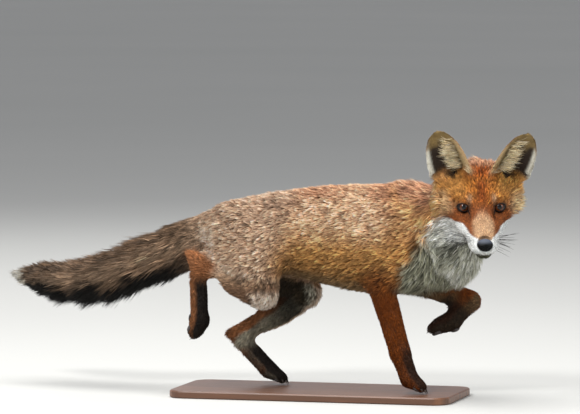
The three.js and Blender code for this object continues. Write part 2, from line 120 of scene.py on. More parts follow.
def unit(v):
    return v / np.maximum(np.linalg.norm(v, axis=-1, keepdims=True), 1e-12)


def flatOn(v, normals):  # the part of v that lies in the surface
    return unit(v - normals * (v * normals).sum(1, keepdims=True))


def nearPiece(points, a, b):  # each point's distance to the line from a to b
    a, b = np.array(a, float), np.array(b, float)
    t = np.clip((points - a) @ (b - a) / ((b - a) @ (b - a)), 0, 1)
    return np.linalg.norm(points - a - t[:, None] * (b - a), axis=1)


def nearLine(points, line):  # the same to a line of several stretches
    return np.min([nearPiece(points, a, b) for a, b in zip(line[:-1], line[1:])], axis=0)


def wave(points, size, seed):  # smooth noise from -1 to 1, about size across
    kick = np.random.default_rng(seed)
    total = np.zeros(len(points))
    for _ in range(7):
        way = kick.normal(size=3)
        way *= kick.uniform(0.7, 1.6) * 2 * math.pi / (size * np.linalg.norm(way) * 1.6)
        total += np.sin(points @ way + kick.uniform(0, 6.3))
    return np.tanh(total / 2.6)


def folded(head):  # both halves of the head laid on its left one
    return np.stack([head[:, 0], np.abs(head[:, 1]), head[:, 2]], 1)


def softly(head, centre, size):  # 1 at a centre on the head, falling to 0 past its size
    return np.exp(-(((head - np.array(centre)) / np.array(size)) ** 2).sum(1))


# small helpers for meshes
def pointsOf(mesh):
    out = np.empty(len(mesh.vertices) * 3)
    mesh.vertices.foreach_get("co", out)
    return out.reshape(-1, 3)


def normalsOf(mesh):
    out = np.empty(len(mesh.vertices) * 3, np.float32)
    mesh.vertex_normals.foreach_get("vector", out)
    return out.reshape(-1, 3).astype(float)


def trianglesOf(mesh):
    mesh.calc_loop_triangles()
    out = np.empty(len(mesh.loop_triangles) * 3, np.int32)
    mesh.loop_triangles.foreach_get("vertices", out)
    return out.reshape(-1, 3)


def movePoints(mesh, points):
    mesh.vertices.foreach_set("co", points.astype(np.float32).ravel())
    mesh.update()


class Net:  # which points of a mesh are neighbours, for easing values over its surface
    def __init__(self, mesh):
        pairs = np.empty(len(mesh.edges) * 2, np.int32)
        mesh.edges.foreach_get("vertices", pairs)
        pairs = pairs.reshape(-1, 2)
        self.here = np.concatenate([pairs[:, 0], pairs[:, 1]])
        self.there = np.concatenate([pairs[:, 1], pairs[:, 0]])
        self.size = len(mesh.vertices)
        self.count = np.maximum(np.bincount(self.here, minlength=self.size), 1)

    def around(self, values):
        flat = values.reshape(self.size, -1)
        cols = [
            np.bincount(self.here, flat[self.there, c], self.size) / self.count
            for c in range(flat.shape[1])
        ]
        return np.stack(cols, 1).reshape(values.shape)

    def ease(self, values, turns, share=0.5):
        for _ in range(turns):
            values = values + (self.around(values) - values) * share
        return values


def newObject(name, mesh):
    made = bpy.data.objects.new(name, mesh)
    bpy.context.scene.collection.objects.link(made)
    return made


def finishPiece(made, material, nodes=()):
    made.data.materials.clear()
    made.data.materials.append(material)
    made.data.polygons.foreach_set("use_smooth", [True] * len(made.data.polygons))
    made.data.update()
    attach(made, "root")
    if nodes:
        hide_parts(*nodes)
    return made


def fromBmesh(name, bm, outward=False):
    if outward:
        bmesh.ops.recalc_face_normals(bm, faces=bm.faces)
    mesh = bpy.data.meshes.new(name)
    bm.to_mesh(mesh)
    bm.free()
    return newObject(name, mesh)


def applied(made):  # an object's mesh with its modifiers or its curve worked out, in place of the object
    bpy.context.view_layer.update()
    ready = made.evaluated_get(bpy.context.evaluated_depsgraph_get())
    mesh = bpy.data.meshes.new_from_object(ready)
    bpy.data.objects.remove(made)
    return mesh


# shader maths
class Wire:  # a socket that can be added, multiplied and so on with others and with numbers
    def __init__(self, tree, socket=None):
        self.tree = tree
        self.socket = socket

    def node(self, kind, sockets=None, out=0, stops=None, **settings):
        made = self.tree.nodes.new(kind)
        for name, value in settings.items():
            setattr(made, name, value)
        if stops:
            band = made.color_ramp.elements
            while len(band) > 1:
                band.remove(band[-1])
            for i, (at, colour) in enumerate(stops):
                stop = band[0] if i == 0 else band.new(at)
                stop.position = at
                stop.color = (*colour, 1)
        for key, value in (sockets or {}).items():
            if isinstance(value, Wire):
                self.tree.links.new(value.socket, made.inputs[key])
            else:
                made.inputs[key].default_value = value
        return Wire(self.tree, made.outputs[out])

    def sum(self, operation, first, second=0.0):
        return self.node("ShaderNodeMath", {0: first, 1: second}, operation=operation)

    def __add__(self, other):
        return self.sum("ADD", self, other)

    def __sub__(self, other):
        return self.sum("SUBTRACT", self, other)

    def __rsub__(self, other):
        return self.sum("SUBTRACT", other, self)

    def __mul__(self, other):
        return self.sum("MULTIPLY", self, other)

    __radd__ = __add__
    __rmul__ = __mul__

    def clip(self, low, high):  # 0 to 1 between two values
        return self.node(
            "ShaderNodeMapRange", {0: self, 1: low, 2: high}, interpolation_type="SMOOTHSTEP"
        )

    def blend(self, first, second, share, how="MIX"):
        return self.node(
            "ShaderNodeMix", {0: share, 6: first, 7: second}, out=2,
            data_type="RGBA", blend_type=how,
        )

    def shaded(self, colour, by, share):  # a colour, multiplied by another where share says
        return self.blend(colour, self.blend(colour, rgba(by[0]), by[1], "MULTIPLY"), share)

    def place(self):
        return self.node("ShaderNodeTexCoord", out=3)

    def noise(self, place, scale, detail):
        return self.node("ShaderNodeTexNoise", {"Vector": place, "Scale": scale, "Detail": detail})

    def bump(self, height, distance, strength):
        return self.node(
            "ShaderNodeBump", {"Height": height, "Distance": distance, "Strength": strength}
        )

    def vector(self, operation, first, second=None, out=0):
        sockets = {0: first} if second is None else {0: first, 1: second}
        return self.node("ShaderNodeVectorMath", sockets, out=out, operation=operation)


def rgba(colour):
    return (*[float(c) for c in colour], 1.0)


def tone(red, green, blue):  # a screen colour, 0 to 255, as the light it stands for
    c = np.array([red, green, blue]) / 255
    return np.where(c < 0.04045, c / 12.92, ((c + 0.055) / 1.055) ** 2.4)


def newMaterial(name, **fixed):
    material = bpy.data.materials.new(name)
    material.use_nodes = True
    tree = material.node_tree
    shader = tree.nodes["Principled BSDF"]
    for key, value in fixed.items():
        shader.inputs[key.replace("_", " ")].default_value = value
    return material, Wire(tree), shader


def plug(wire, shader, socket):
    wire.tree.links.new(wire.socket, shader.inputs[socket])


view = {"azimuth": 15, "elevation": 4, "distance": 8.0, "lens": 310, "target": (-51.6, 7.2, 302.1)}
camera = bpy.data.cameras.new("camera")
camera.lens = view["lens"]
camera.clip_end = 200
cameraObject = newObject("camera", camera)
turn, rise = math.radians(view["azimuth"]), math.radians(view["elevation"])
back = Vector((math.sin(turn) * math.cos(rise), -math.cos(turn) * math.cos(rise), math.sin(rise)))
cameraObject.location = Vector(view["target"]) * mm + back * view["distance"]
cameraObject.rotation_mode = "QUATERNION"
cameraObject.rotation_quaternion = (-back).to_track_quat("-Z", "Y")
bpy.context.scene.camera = cameraObject

# The flesh nodes are swelled a little so that they meet, made one surface, eased, and drawn in
# by the depth of the coat that lies over each place.
flesh = [
    "trunk", "neck", "head", "ear_right", "ear_left", "tail_root", "tail_middle", "tail_tip",
    *[f"{part}_{hand}" for hand in hands for part in
      ("thigh", "shank", "hindfoot", "forearm", "forefoot")],
]
skinLook = {
    "voxel": 3.2, "swell": 1.3, "easing": 14, "earEasing": 6, "borderEasing": 10, "coatEasing": 8,
    "lastEasing": 0.35, "earCare": 0.7, "face": {"behind": -26, "halfWidth": 50, "above": 22},
}
groups = ["trunk", "neck", "head", "ear", "tail", "thigh", "shank", "hindfoot", "forearm", "forefoot"]
coatBy = {  # depth of the coat and length of its hair; the head's and the tail's are worked out below
    "trunk": (6, 12.5), "neck": (10, 24), "ear": (0.5, 4), "thigh": (5.5, 10.5), "shank": (3.4, 8.5),
    "hindfoot": (1.8, 6), "forearm": (2, 6.5), "forefoot": (1.6, 5.5),
}


def fleshCopy(node):
    bm = bmesh.new()
    bm.from_mesh(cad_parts[node].data)
    bmesh.ops.remove_doubles(bm, verts=bm.verts, dist=1e-6)
    if node.startswith("ear"):
        bmesh.ops.join_triangles(
            bm, faces=bm.faces, angle_face_threshold=0.8, angle_shape_threshold=3.1
        )
        bmesh.ops.subdivide_edges(bm, edges=bm.edges, cuts=1, smooth=0.9, use_grid_fill=True)
    return bm


def meltFlesh():
    joined = bmesh.new()
    outer = []  # the CAD nodes' faces, and which group each belongs to
    owner = []
    for node in flesh:
        bm = fleshCopy(node)
        part = bpy.data.meshes.new("part")
        bm.to_mesh(part)
        outer.append(pointsOf(part)[trianglesOf(part)])
        owner += [groups.index(node.split("_")[0])] * len(part.loop_triangles)
        bm.normal_update()
        for v in bm.verts:
            v.co += v.normal * skinLook["swell"] * mm
        bm.to_mesh(part)
        bm.free()
        joined.from_mesh(part)
        bpy.data.meshes.remove(part)
    made = fromBmesh("melt", joined)
    voxels = made.modifiers.new("melt", "REMESH")
    voxels.mode = "VOXEL"
    voxels.voxel_size = skinLook["voxel"] * mm
    corners = np.concatenate(outer)
    tree = BVHTree.FromPolygons(
        [Vector(c) for c in corners.reshape(-1, 3)],
        [(3 * i, 3 * i + 1, 3 * i + 2) for i in range(len(corners))],
    )
    return applied(made), tree, np.array(owner)


def largestIsland(bm):
    left = set(bm.verts)
    best = []
    while left:
        seed = left.pop()
        island, edge = [seed], [seed]
        while edge:
            v = edge.pop()
            for e in v.link_edges:
                w = e.other_vert(v)
                if w in left:
                    left.remove(w)
                    island.append(w)
                    edge.append(w)
        if len(island) > len(best):
            best = island
    keep = set(best)
    bmesh.ops.delete(bm, geom=[v for v in bm.verts if v not in keep], context="VERTS")


def onFace(edge):
    ahead, side, up = inHeadAxes(np.array((edge.verts[0].co + edge.verts[1].co) / 2))
    face = skinLook["face"]
    return ahead > face["behind"] and abs(side) < face["halfWidth"] and up < face["above"]


melted, outerTree, outerOwner = meltFlesh()
bm = bmesh.new()
bm.from_mesh(melted)
largestIsland(bm)
faceEdges = [e for e in bm.edges if onFace(e)]  # the face is finer than the rest
bmesh.ops.subdivide_edges(bm, edges=faceEdges, cuts=1, smooth=0.6, use_grid_fill=True)
bmesh.ops.triangulate(bm, faces=[f for f in bm.faces if len(f.verts) > 4])
bm.to_mesh(melted)
bm.free()
print("melted the flesh into one skin:", len(melted.vertices), "points")

# which group each point belongs to, eased over the borders
net = Net(melted)
points = pointsOf(melted)
smoothed = points
for _ in range(skinLook["easing"]):  # a turn inwards and a turn outwards, so that nothing shrinks
    smoothed = net.ease(smoothed, 1, 0.55)
    smoothed = net.ease(smoothed, 1, -0.56)
owner = np.array([outerOwner[outerTree.find_nearest(Vector(p))[2]] for p in smoothed])
isEar = (owner == groups.index("ear")).astype(float)
gentle = net.ease(isEar, skinLook["earEasing"])[:, None]  # the thin ears are eased less
points = smoothed * (1 - gentle) + net.ease(points, 2) * gentle
movePoints(melted, points)
share = net.ease(np.eye(len(groups))[owner], skinLook["borderEasing"])
share /= share.sum(1, keepdims=True)


def coatDepths(points, share):
    head = inHeadAxes(points)
    x = points[:, 0] / mm
    at = {"x": x, "ahead": head[:, 0], "side": np.abs(head[:, 1]), "up": head[:, 2]}
    face = 1.1 + 2.2 * zone(at, ahead=(30, -30))
    face += 5.5 * zone(at, side=(34, 58), ahead=(5, -30))  # the cheeks
    face += 0.8 * zone(at, up=(16, 34))  # the crown
    face += 4.5 * zone(at, ahead=(-20, -46), up=(-24, -44))  # the throat
    brush = np.interp(x, tailLine[::-1, 0], tailLine[::-1, 3])
    chest = zone(at, x=(140, 190))
    away = zone(at, x=(-180, -290))  # along the tail, away from the rump
    depth, length = [
        {g: np.full(len(points), float(coatBy[g][i])) for g in coatBy} for i in (0, 1)
    ]
    dip = softly(folded(head), (-42, 50, 30), (14, 24, 16))  # nothing hides the ears' openings
    depth.update(head=face, tail=(0.16 + 0.26 * away) * brush, trunk=depth["trunk"] + 6 * chest)
    length.update(
        head=1.9 + face * 2.0, trunk=length["trunk"] + 13 * chest,
        tail=np.maximum((0.5 + 0.5 * away) * brush, 26 * zone(at, x=(-470, -505))),
    )
    depth = {g: depth[g] + 8 * dip if g == "head" else depth[g] for g in groups}
    length = {g: length[g] * (1 - 0.8 * dip) for g in groups}
    return [(np.stack([of[g] for g in groups], 1) * share).sum(1) for of in (depth, length)]


depth, length = [net.ease(v, skinLook["coatEasing"]) for v in coatDepths(points, share)]
normals = unit(net.ease(normalsOf(melted), 3))
points = points - normals * ((depth + skinLook["swell"]) * mm)[:, None]
lastEasing = skinLook["lastEasing"] * (1 - skinLook["earCare"] * isEar.mean())  # less for much ear
points = net.ease(points, 2, lastEasing)

# the eyelids, the mouth and the folds, pressed into the skin
eyeLook = {
    "centre": (-7.5, 28.2, -1.5), "radius": 9.4, "opening": (0.9, 0.24, 0.31),
    "gaze": (0.885, -0.02, 0.4), "width": 9.0, "above": 5.7, "below": 5.9, "slant": 8,
    "sideCurve": 2.1, "rimCurve": 1.6, "around": 17, "sunk": 0.8, "lid": 0.7, "reach": 3.6, "pressed": 24,
}


def eyeSet(hand):  # an eye's centre and its outward, upward and opening directions
    s = hands[hand]
    opening = unit(np.array(eyeLook["opening"]) * (1, s, 1))
    upward = unit(np.array((0, 0, 1.0)) - opening * opening[2])
    outward = np.cross(upward, opening) * s * (1 if np.cross(upward, opening)[1] > 0 else -1)
    slant = math.radians(eyeLook["slant"])
    return {
        "centre": np.array(eyeLook["centre"]) * (1, s, 1), "opening": opening,
        "outward": outward * math.cos(slant) + upward * math.sin(slant),
        "upward": upward * math.cos(slant) - outward * math.sin(slant),
    }


eyes = {hand: eyeSet(hand) for hand in hands}


def lidPlace(head, eye):  # how far outside the lids' edge a place is: 1 on the edge itself
    d = head - eye["centre"]
    far = np.linalg.norm(d, axis=1)
    way = d / far[:, None] * eyeLook["radius"]
    across, rise, ahead = way @ eye["outward"], way @ eye["upward"], way @ eye["opening"]
    tall = np.where(rise > 0, eyeLook["above"], eyeLook["below"])
    edge = np.abs(across / eyeLook["width"]) ** eyeLook["sideCurve"]
    edge = edge + np.abs(rise / tall) ** eyeLook["rimCurve"]
    return np.where((ahead > 0) & (far < eyeLook["around"]), edge, 9), far


def nearEyes(head):
    return np.minimum(*[lidPlace(head, eye)[0] for eye in eyes.values()])


faceLook = {
    "upperLip": ((60, 11, -41), (14, 8, 7)), "chin": ((60, 5, -52), (10, 8, 6)), "hang": 3.2,
    "lipDeep": 1.3, "lipWide": 1.5, "tearDeep": 0.9, "tearWide": 3,
    "tear": [(3, 20.5, -4), (12, 18.5, -10), (24, 16.5, -17)],
}
mouthLine = [
    (72, 0, -40), (70, 5, -43), (62, 11, -46), (48, 15.5, -47), (30, 19, -46.5),
    (12, 22.5, -44), (-2, 25, -40),
]


def mouthBoth(head):  # distance to the line between the lips, on either side
    return nearLine(folded(head), mouthLine)


# the fold of skin between each flank and the thigh, and the hollow of the flank before it, with painted
# shade along the fold
creaseLook = {"fold": 4.5, "foldWide": 6, "hollow": 3.5, "hollowWide": 24, "shade": 0.7, "shadeWide": 7}
creases = {
    "right": [(-56, -60, 268), (-60, -66, 235), (-66, -70, 200), (-54, -66, 176), (-42, -58, 160)],
    "left": [(-46, 60, 266), (-34, 66, 238), (-18, 66, 208), (-4, 58, 190)],
}
hollowAt = {"right": (-66, -44), "left": (-40, -14)}


def foldNear(points, hand):
    place = points / mm
    return np.where(place[:, 1] * hands[hand] > 20, nearLine(place, creases[hand]), 1e3)


for hand in hands:
    far = foldNear(points, hand)
    hollow = bell(far, 0, creaseLook["hollowWide"]) * ramp(points[:, 0] / mm, *hollowAt[hand])
    push = creaseLook["fold"] * bell(far, 0, creaseLook["foldWide"]) + creaseLook["hollow"] * hollow
    points = points - normals * (push * mm)[:, None]

head = inHeadAxes(points)
for eye in eyes.values():
    edge, far = lidPlace(head, eye)
    lid = eyeLook["radius"] + eyeLook["lid"]
    wanted = np.where(
        edge < 1, eyeLook["radius"] - eyeLook["sunk"],
        lid + (far - lid) * ramp(edge, 1, eyeLook["reach"]),
    )
    near = (edge < eyeLook["reach"]) & (far < eyeLook["pressed"])
    moved = eye["centre"] + (head - eye["centre"]) / far[:, None] * wanted[:, None]
    head = np.where(near[:, None], moved, head)
outward = unit(normals @ headAxes)
upperLip, chin = [softly(folded(head), *faceLook[part]) for part in ("upperLip", "chin")]
head += outward * (faceLook["hang"] * (upperLip + 0.5 * chin))[:, None]
lips = bell(mouthBoth(head), 0, faceLook["lipWide"]) * (head[:, 0] > -8)
head -= outward * (faceLook["lipDeep"] * lips)[:, None]
tear = bell(nearLine(folded(head), faceLook["tear"]), 0, faceLook["tearWide"])
head -= outward * (faceLook["tearDeep"] * tear)[:, None]
points = offHeadAxes(head)
movePoints(melted, points)
normals = normalsOf(melted)
triangles = trianglesOf(melted)
skinTree = BVHTree.FromPolygons([Vector(p) for p in points], [list(t) for t in triangles])
print("shaped the skin, with lids and lips")

earLook = {
    "root": (-43, 40.5, 21.5), "rise": {"left": (-0.1, 0.36, 0.92), "right": (-0.2, -0.31, 0.93)},
    "opening": (0.9, 0.34, 0.22), "length": 92, "halfWidth": 36,
}


def earSet(hand):  # an ear's root, and its upward, opening and outward directions
    s = hands[hand]
    rise = unit(np.array(earLook["rise"][hand]))
    front = np.array(earLook["opening"]) * (1, s, 1)
    front = unit(front - rise * (front @ rise))
    across = np.cross(rise, front)
    across = across * (1 if across[1] * s > 0 else -1)
    return {"root": np.array(earLook["root"]) * (1, s, 1), "rise": rise, "front": front, "across": across}


ears = {hand: earSet(hand) for hand in hands}


def earPlace(head, out, ear):  # how far up the ear, how far outward, and how much it faces in
    local = head - ear["root"]
    up = local @ ear["rise"] / earLook["length"]
    return up, local @ ear["across"] / earLook["halfWidth"], out @ ear["front"]


# the lie of the coat: which way the hair of each group points
wayBy = {
    "trunk": (-1, 0, -0.24), "neck": (-0.8, 0.12, -0.62), "thigh": (-0.72, 0, -0.7),
    "chest": (-0.25, 0, -1), "beard": (0, 0, -0.35), "easing": 14,
}
noseTip = np.array((88, 0, -30))  # the hair of the head points away from here
legChains = {
    "shank": ("knee", "hock"), "hindfoot": ("hock", "ball", "hindToe"),
    "forearm": ("elbow", "wrist"), "forefoot": ("wrist", "knuckle", "toe"),
}


def coatWay(points, normals, owner):
    head = inHeadAxes(points)
    way = np.zeros_like(points)
    for g in ("trunk", "neck", "thigh"):
        way[owner == groups.index(g)] = wayBy[g]
    chest = ramp(points[:, 0] / mm, 150, 200) * (owner == groups.index("trunk"))
    way = mix(way, wayBy["chest"], chest)
    onSkull = owner == groups.index("head")
    back = unit(head - noseTip) + np.array(wayBy["beard"]) * ramp(np.abs(head[:, 1]), 30, 55)[:, None]
    way[onSkull] = (back @ headAxes.T)[onSkull]
    for hand, s in hands.items():
        ear = (owner == groups.index("ear")) & (head[:, 1] * s > 0)
        way[ear] = ears[hand]["rise"] @ headAxes.T
        for g, chain in legChains.items():
            line = [np.array(spot(*joints[hand][k])) for k in chain]
            best = np.full(len(points), 1e9)
            for a, b in zip(line[:-1], line[1:]):
                far = nearPiece(points, a, b)
                here = (owner == groups.index(g)) & (points[:, 1] * s > 0) & (far < best)
                way[here] = unit(b - a)
                best = np.where(here, far, best)
    tail = [np.array(spot(*p[:3])) for p in tailLine]
    onTail = owner == groups.index("tail")
    for a, b in zip(tail[:-1], tail[1:]):
        way[onTail & (points[:, 0] < a[0] + 0.001)] = unit(b - a)
    return flatOn(way, normals)


way = coatWay(points, normals, owner)
for _ in range(wayBy["easing"]):
    way = flatOn(net.ease(way, 2), normals)

# The coat's marks, with painted shade and painted light laid among them where said. Each function
# works out measures of a place and lays tones over each other, each in a zone of those measures, so
# the skin and every tuft take the same colour at the same place.
# of these tones, the flank's low and deep golds and the belly's stand for painted shade
tones = {
    "gold": tone(236, 198, 160), "shadedLowGold": tone(194, 148, 88), "mantle": tone(190, 140, 108),
    "shoulder": tone(186, 138, 82), "deepShadedGold": tone(168, 126, 72), "shadedBelly": tone(120, 106, 80),
    "chest": tone(212, 216, 198), "nape": tone(180, 134, 104), "rump": tone(208, 180, 152),
    "rumpDark": tone(104, 76, 58), "rumpPale": tone(236, 218, 196), "tailTop": tone(124, 102, 82),
    "tailUnder": tone(22, 19, 15), "tailTip": tone(226, 222, 208), "legRust": tone(150, 100, 64),
    "deepRust": tone(114, 58, 14), "legInner": tone(158, 158, 142), "foreInner": tone(96, 76, 52),
    "black": tone(32, 26, 21), "orange": tone(166, 108, 46), "mask": tone(126, 70, 32),
    "crown": tone(136, 66, 12), "forehead": tone(132, 62, 18), "temple": tone(212, 156, 86),
    "cheek": tone(236, 200, 152), "muzzle": tone(184, 148, 114), "white": tone(236, 242, 242),
    "ruff": tone(246, 250, 242), "chin": tone(66, 66, 46), "cream": tone(226, 212, 184),
    "tear": tone(84, 52, 30), "earBack": tone(34, 28, 25), "earInner": tone(50, 38, 28),
    "earBand": tone(196, 172, 124), "earRim": tone(222, 220, 206), "lip": tone(28, 22, 20),
}
maskEdge = np.array([  # how far below the eyes, and how far out the white begins there
    (-2, 74), (6, 64), (18, 45), (23, 36), (27, 30), (32, 25), (40, 20.5), (46, 15), (52, 8),
    (56, 0), (59, -6),
]).T
earFoot = np.array([  # how far out, and how far above the eyes an ear's opening begins there
    (30, 60), (38, 43), (50, 44), (66, 51), (76, 58),
]).T
bridge = np.array([  # how far below the eyes, and the half width of the nose's grey bridge there
    (-8, 4), (9, 8), (24, 17), (42, 17),
]).T
chestEdge = np.array([  # height, and how far forward the pale chest begins there
    (120, 118), (169, 140), (249, 176), (289, 206), (320, 240), (360, 262),
]).T
faceDown = np.array((0.469, 0, -0.883))  # down over the face
tearMark = [(4, 20, -4), (14, 18.5, -11), (22, 18, -16)]
brow = {"centre": (-8, 18, 11), "size": (6.5, 3.4, 5.0)}


def lay(under, name, share, bright=1.0):
    return mix(under, tones[name] * bright, share)


def headMarksAndShade(head, out):
    side = np.abs(head[:, 1])
    drop = (head - (0.8, 0, 2.4)) @ faceDown
    edge = np.interp(drop, *maskEdge) + 1.2 + 1.5 * wave(head, 10, 3)
    at = {
        "ahead": head[:, 0], "side": side, "up": head[:, 2], "drop": drop,
        "nape": 2 * wave(head, 12, 31) - drop, "bridge": side - np.interp(drop, *bridge),
        "hollow": 1.5 * wave(head, 6, 61) - drop - np.interp(side, *earFoot),
        "cheek": side - edge, "front": out[:, 0], "eye": nearEyes(head), "mouth": mouthBoth(head),
    }
    c = mix(tones["mask"], tones["orange"], zone(at, drop=(5, -20)))
    c = lay(c, "temple", zone(at, side=(18, 38), drop=(-6, -30)))
    c = lay(c, "temple", 0.8 * zone(at, side=(44, 56), drop=(-26, -38)), 0.62)
    c = lay(c, "crown", zone(at, drop=(-34, -50), side=(30, 14)))
    c = lay(c, "forehead", 0.85 * bell(side, 0, 12) * zone(at, drop=(2, -12, -30, -48)), 0.86)
    c = lay(c, "cheek", zone(at, side=(38, 53), drop=(18, -2, -10, -30)), 0.9)
    c = lay(c, "muzzle", zone(at, bridge=(3, -5), drop=(0, 22, 56, 61)))
    c = lay(c, "nape", 0.9 * zone(at, nape=(57, 66)))
    # the head inside the ear's opening darkened: painted shade in the hollow
    earHollowShade = zone(at, hollow=(-1, 4), side=(28, 36, 62, 70), front=(-0.2, 0.2), ahead=(-66, -58))
    c = lay(c, "earInner", earHollowShade, 0.6)
    c = lay(c, "white", zone(at, cheek=(-2, 2), drop=(-4, 8)))
    c = lay(c, "ruff", zone(at, ahead=(-14, -40), drop=(8, 22)))
    c = lay(c, "chin", zone(at, up=(-44.5, -48), ahead=(0, 30)))
    c = lay(c, "tear", 0.75 * bell(nearLine(folded(head), tearMark), 0, 2.8))
    c = lay(c, "cream", 0.85 * softly(folded(head), brow["centre"], brow["size"]))
    c = lay(c, "black", 0.9 * zone(at, eye=(1.5, 1.15)))
    return lay(c, "lip", zone(at, mouth=(2.2, 1.0), ahead=(-8, 0)))


def earMarksAndShade(head, out):
    c = np.zeros_like(head)
    for hand, s in hands.items():
        up, outer, facing = earPlace(head, out, ears[hand])
        full = np.maximum((1 - np.clip(up, 0, 0.999) ** 3.2) ** 0.56, 0.05)  # half width at that height
        at = {
            "up": up, "outer": outer, "edge": np.abs(outer) / full, "inward": -outer / full,
            "band": -outer / full + 0.16 * wave(head * (0.5, 0.5, 1.6), 9, 52),
            "tip": up + 0.07 * wave(head, 9, 51), "facing": facing,
        }
        lobe = zone(at, outer=(0.3, 0.5), up=(0.24, 0.12))
        behind = mix(tones["earBack"], tones["orange"], zone(at, up=(0.2, 0.02)))
        behind = lay(behind, "temple", lobe, 0.8)
        behind = lay(behind, "earRim", zone(at, edge=(0.8, 0.94), outer=(0, 0.3), up=(0.85, 0.6)), 0.8)
        behind = lay(behind, "cheek", zone(at, edge=(0.8, 0.94), outer=(0, -0.3)), 0.8)
        # the band under the long ear hair at 0.6 of its tone: painted shade in the gaps between the hairs
        inner = mix(tones["earInner"], tones["earBand"] * 0.6, zone(at, band=(0.06, 0.5)))
        inner = lay(inner, "cheek", 0.6 * zone(at, inward=(0.6, 0.9)))
        inner = lay(inner, "earRim", zone(at, edge=(0.68, 0.84), outer=(0, 0.3), up=(0.9, 0.7)), 1.2)
        inner = lay(inner, "earBand", zone(at, tip=(0.62, 0.86)), (0.5, 0.46, 0.36))
        inner = lay(inner, "legRust", zone(at, edge=(0.8, 0.94), up=(0.5, 0.8)), 0.7)
        # black low in the middle of the ear's inside: painted shade deep in its hollow
        inner = lay(inner, "black", 0.8 * zone(at, up=(0.34, 0.14), outer=(-0.6, -0.2, 0.35, 0.6)))
        inner = lay(inner, "temple", lobe, 0.8)
        here = mix(behind, inner, zone(at, facing=(-0.55, -0.15)))
        c = np.where((head[:, 1] * s > 0)[:, None], here, c)
    return c


def pastChest(place):  # how far in front of the pale chest's edge a place is
    return place[:, 0] - np.interp(place[:, 2], *chestEdge)


def trunkMarksShadeAndHighlight(place, out):
    x, y, z = place.T
    flank = z - 262  # above the middle of the flank
    high = flank / 85
    at = {
        "x": x, "y": np.abs(y), "z": z, "high": high, "under": -out[:, 2],
        "top": out[:, 2] + 0.12 * wave(place, 40, 21), "rump": 12 * wave(place, 60, 4) - x + 20 * high,
        "blotch": wave(place * (0.8, 1, 1.4), 26, 22) + 0.5 * high,
        "chest": pastChest(place) + 6 * wave(place, 30, 5),
    }
    # the flank darker towards the bottom: painted shade under the body
    c = mix(tones["shadedLowGold"], tones["gold"] * 1.1, zone(at, high=(-0.35, 0.4)))
    c = lay(c, "deepShadedGold", zone(at, high=(-0.3, -0.85)))
    c = lay(c, "mantle", 0.75 * zone(at, top=(0.45, 0.85)))
    # a diagonal band of pale gold behind the shoulder: a painted highlight
    c = lay(c, "gold", 0.6 * bell(x + 0.34 * flank, 96, 20) * zone(at, high=(-0.3, 0.3)), 1.05)
    c = lay(c, "shoulder", 0.75 * zone(at, x=(108, 150)))
    c = lay(c, "mantle", 0.5 * bell(x + 0.3 * flank, 142, 13) * zone(at, high=(0.1, 0.5)))
    c = lay(c, "rump", 0.95 * zone(at, rump=(16, 72)))
    c = lay(c, "rumpDark", 0.28 * zone(at, blotch=(0.1, 0.9), x=(0, -50), high=(0, 0.5)))
    # the rump's own pale rear, brightened past its tone as painted light where the surface turns from the
    # lamps
    c = lay(c, "rumpPale", 0.4 * zone(at, x=(-144, -162), z=(284, 258), y=(20, 36)), 1.4)
    c = lay(c, "rumpDark", 0.5 * bell(x, -34, 20) * bell(z, 298, 13))  # the loin's shade
    # the trunk darker where it faces down: painted shade under the body
    c = lay(c, "shadedBelly", 0.8 * zone(at, under=(0.4, 0.85)))
    for hand in hands:
        elbow = np.array(joints[hand]["elbow"]) + (6, 0, ground - 6)
        c = lay(c, "deepRust", 0.9 * np.exp(-((np.linalg.norm(place - elbow, axis=1) / 36) ** 4)))
    return lay(c, "chest", zone(at, chest=(-9, 10)), (0.5, 0.5, 0.46))


def neckMarksAndShade(place, out):
    x, y, z = place.T
    head = inHeadAxes(place * mm)
    drop = head @ faceDown
    at = {"y": y, "z": z, "top": out[:, 2], "chest": pastChest(place) + 6 * wave(place, 26, 6)}
    c = mix(tones["gold"] * (1.25, 1.0, 0.66), tones["nape"], zone(at, top=(0.2, 0.8)))
    pale = zone(at, chest=(-10, 12), top=(0.72, 0.35)) * (1 - zone(at, z=(300, 335), y=(-40, 0)))
    c = lay(c, "chest", pale)
    c = lay(c, "ruff", pale * bell(np.abs(head[:, 1]), 62, 18) * bell(drop, 8, 26), 1.25)
    # painted shade on the pale neck under the jaw
    shadeUnderJaw = bell(head[:, 1], -36, 19) * bell(drop, 56, 18)
    return c * (1 - 0.85 * shadeUnderJaw * pale)[:, None]


def tailMarks(place, out):
    along = np.clip((-place[:, 0] - 166) / 358, 0, 1)
    at = {
        "along": along, "blotch": wave(place, 38, 23),
        "under": -out[:, 2] + 0.2 * wave(place, 40, 8),
    }
    c = mix(tones["rump"] * 0.85, tones["tailTop"], zone(at, along=(-0.02, 0.12)))
    c = lay(c, "tailTop", 0.7 * zone(at, blotch=(0.1, 0.8)), 0.62)
    c = lay(c, "rump", 0.42 * bell(out[:, 2], 0.05, 0.3), 0.7)
    c = lay(c, "tailUnder", zone(at, under=(0.08, 0.55), along=(0.0, 0.2)), 0.3)
    c = lay(c, "tailUnder", 0.3 * zone(at, along=(0.66, 0.88)))
    return lay(c, "tailTip", zone(at, along=(0.925, 0.95)))


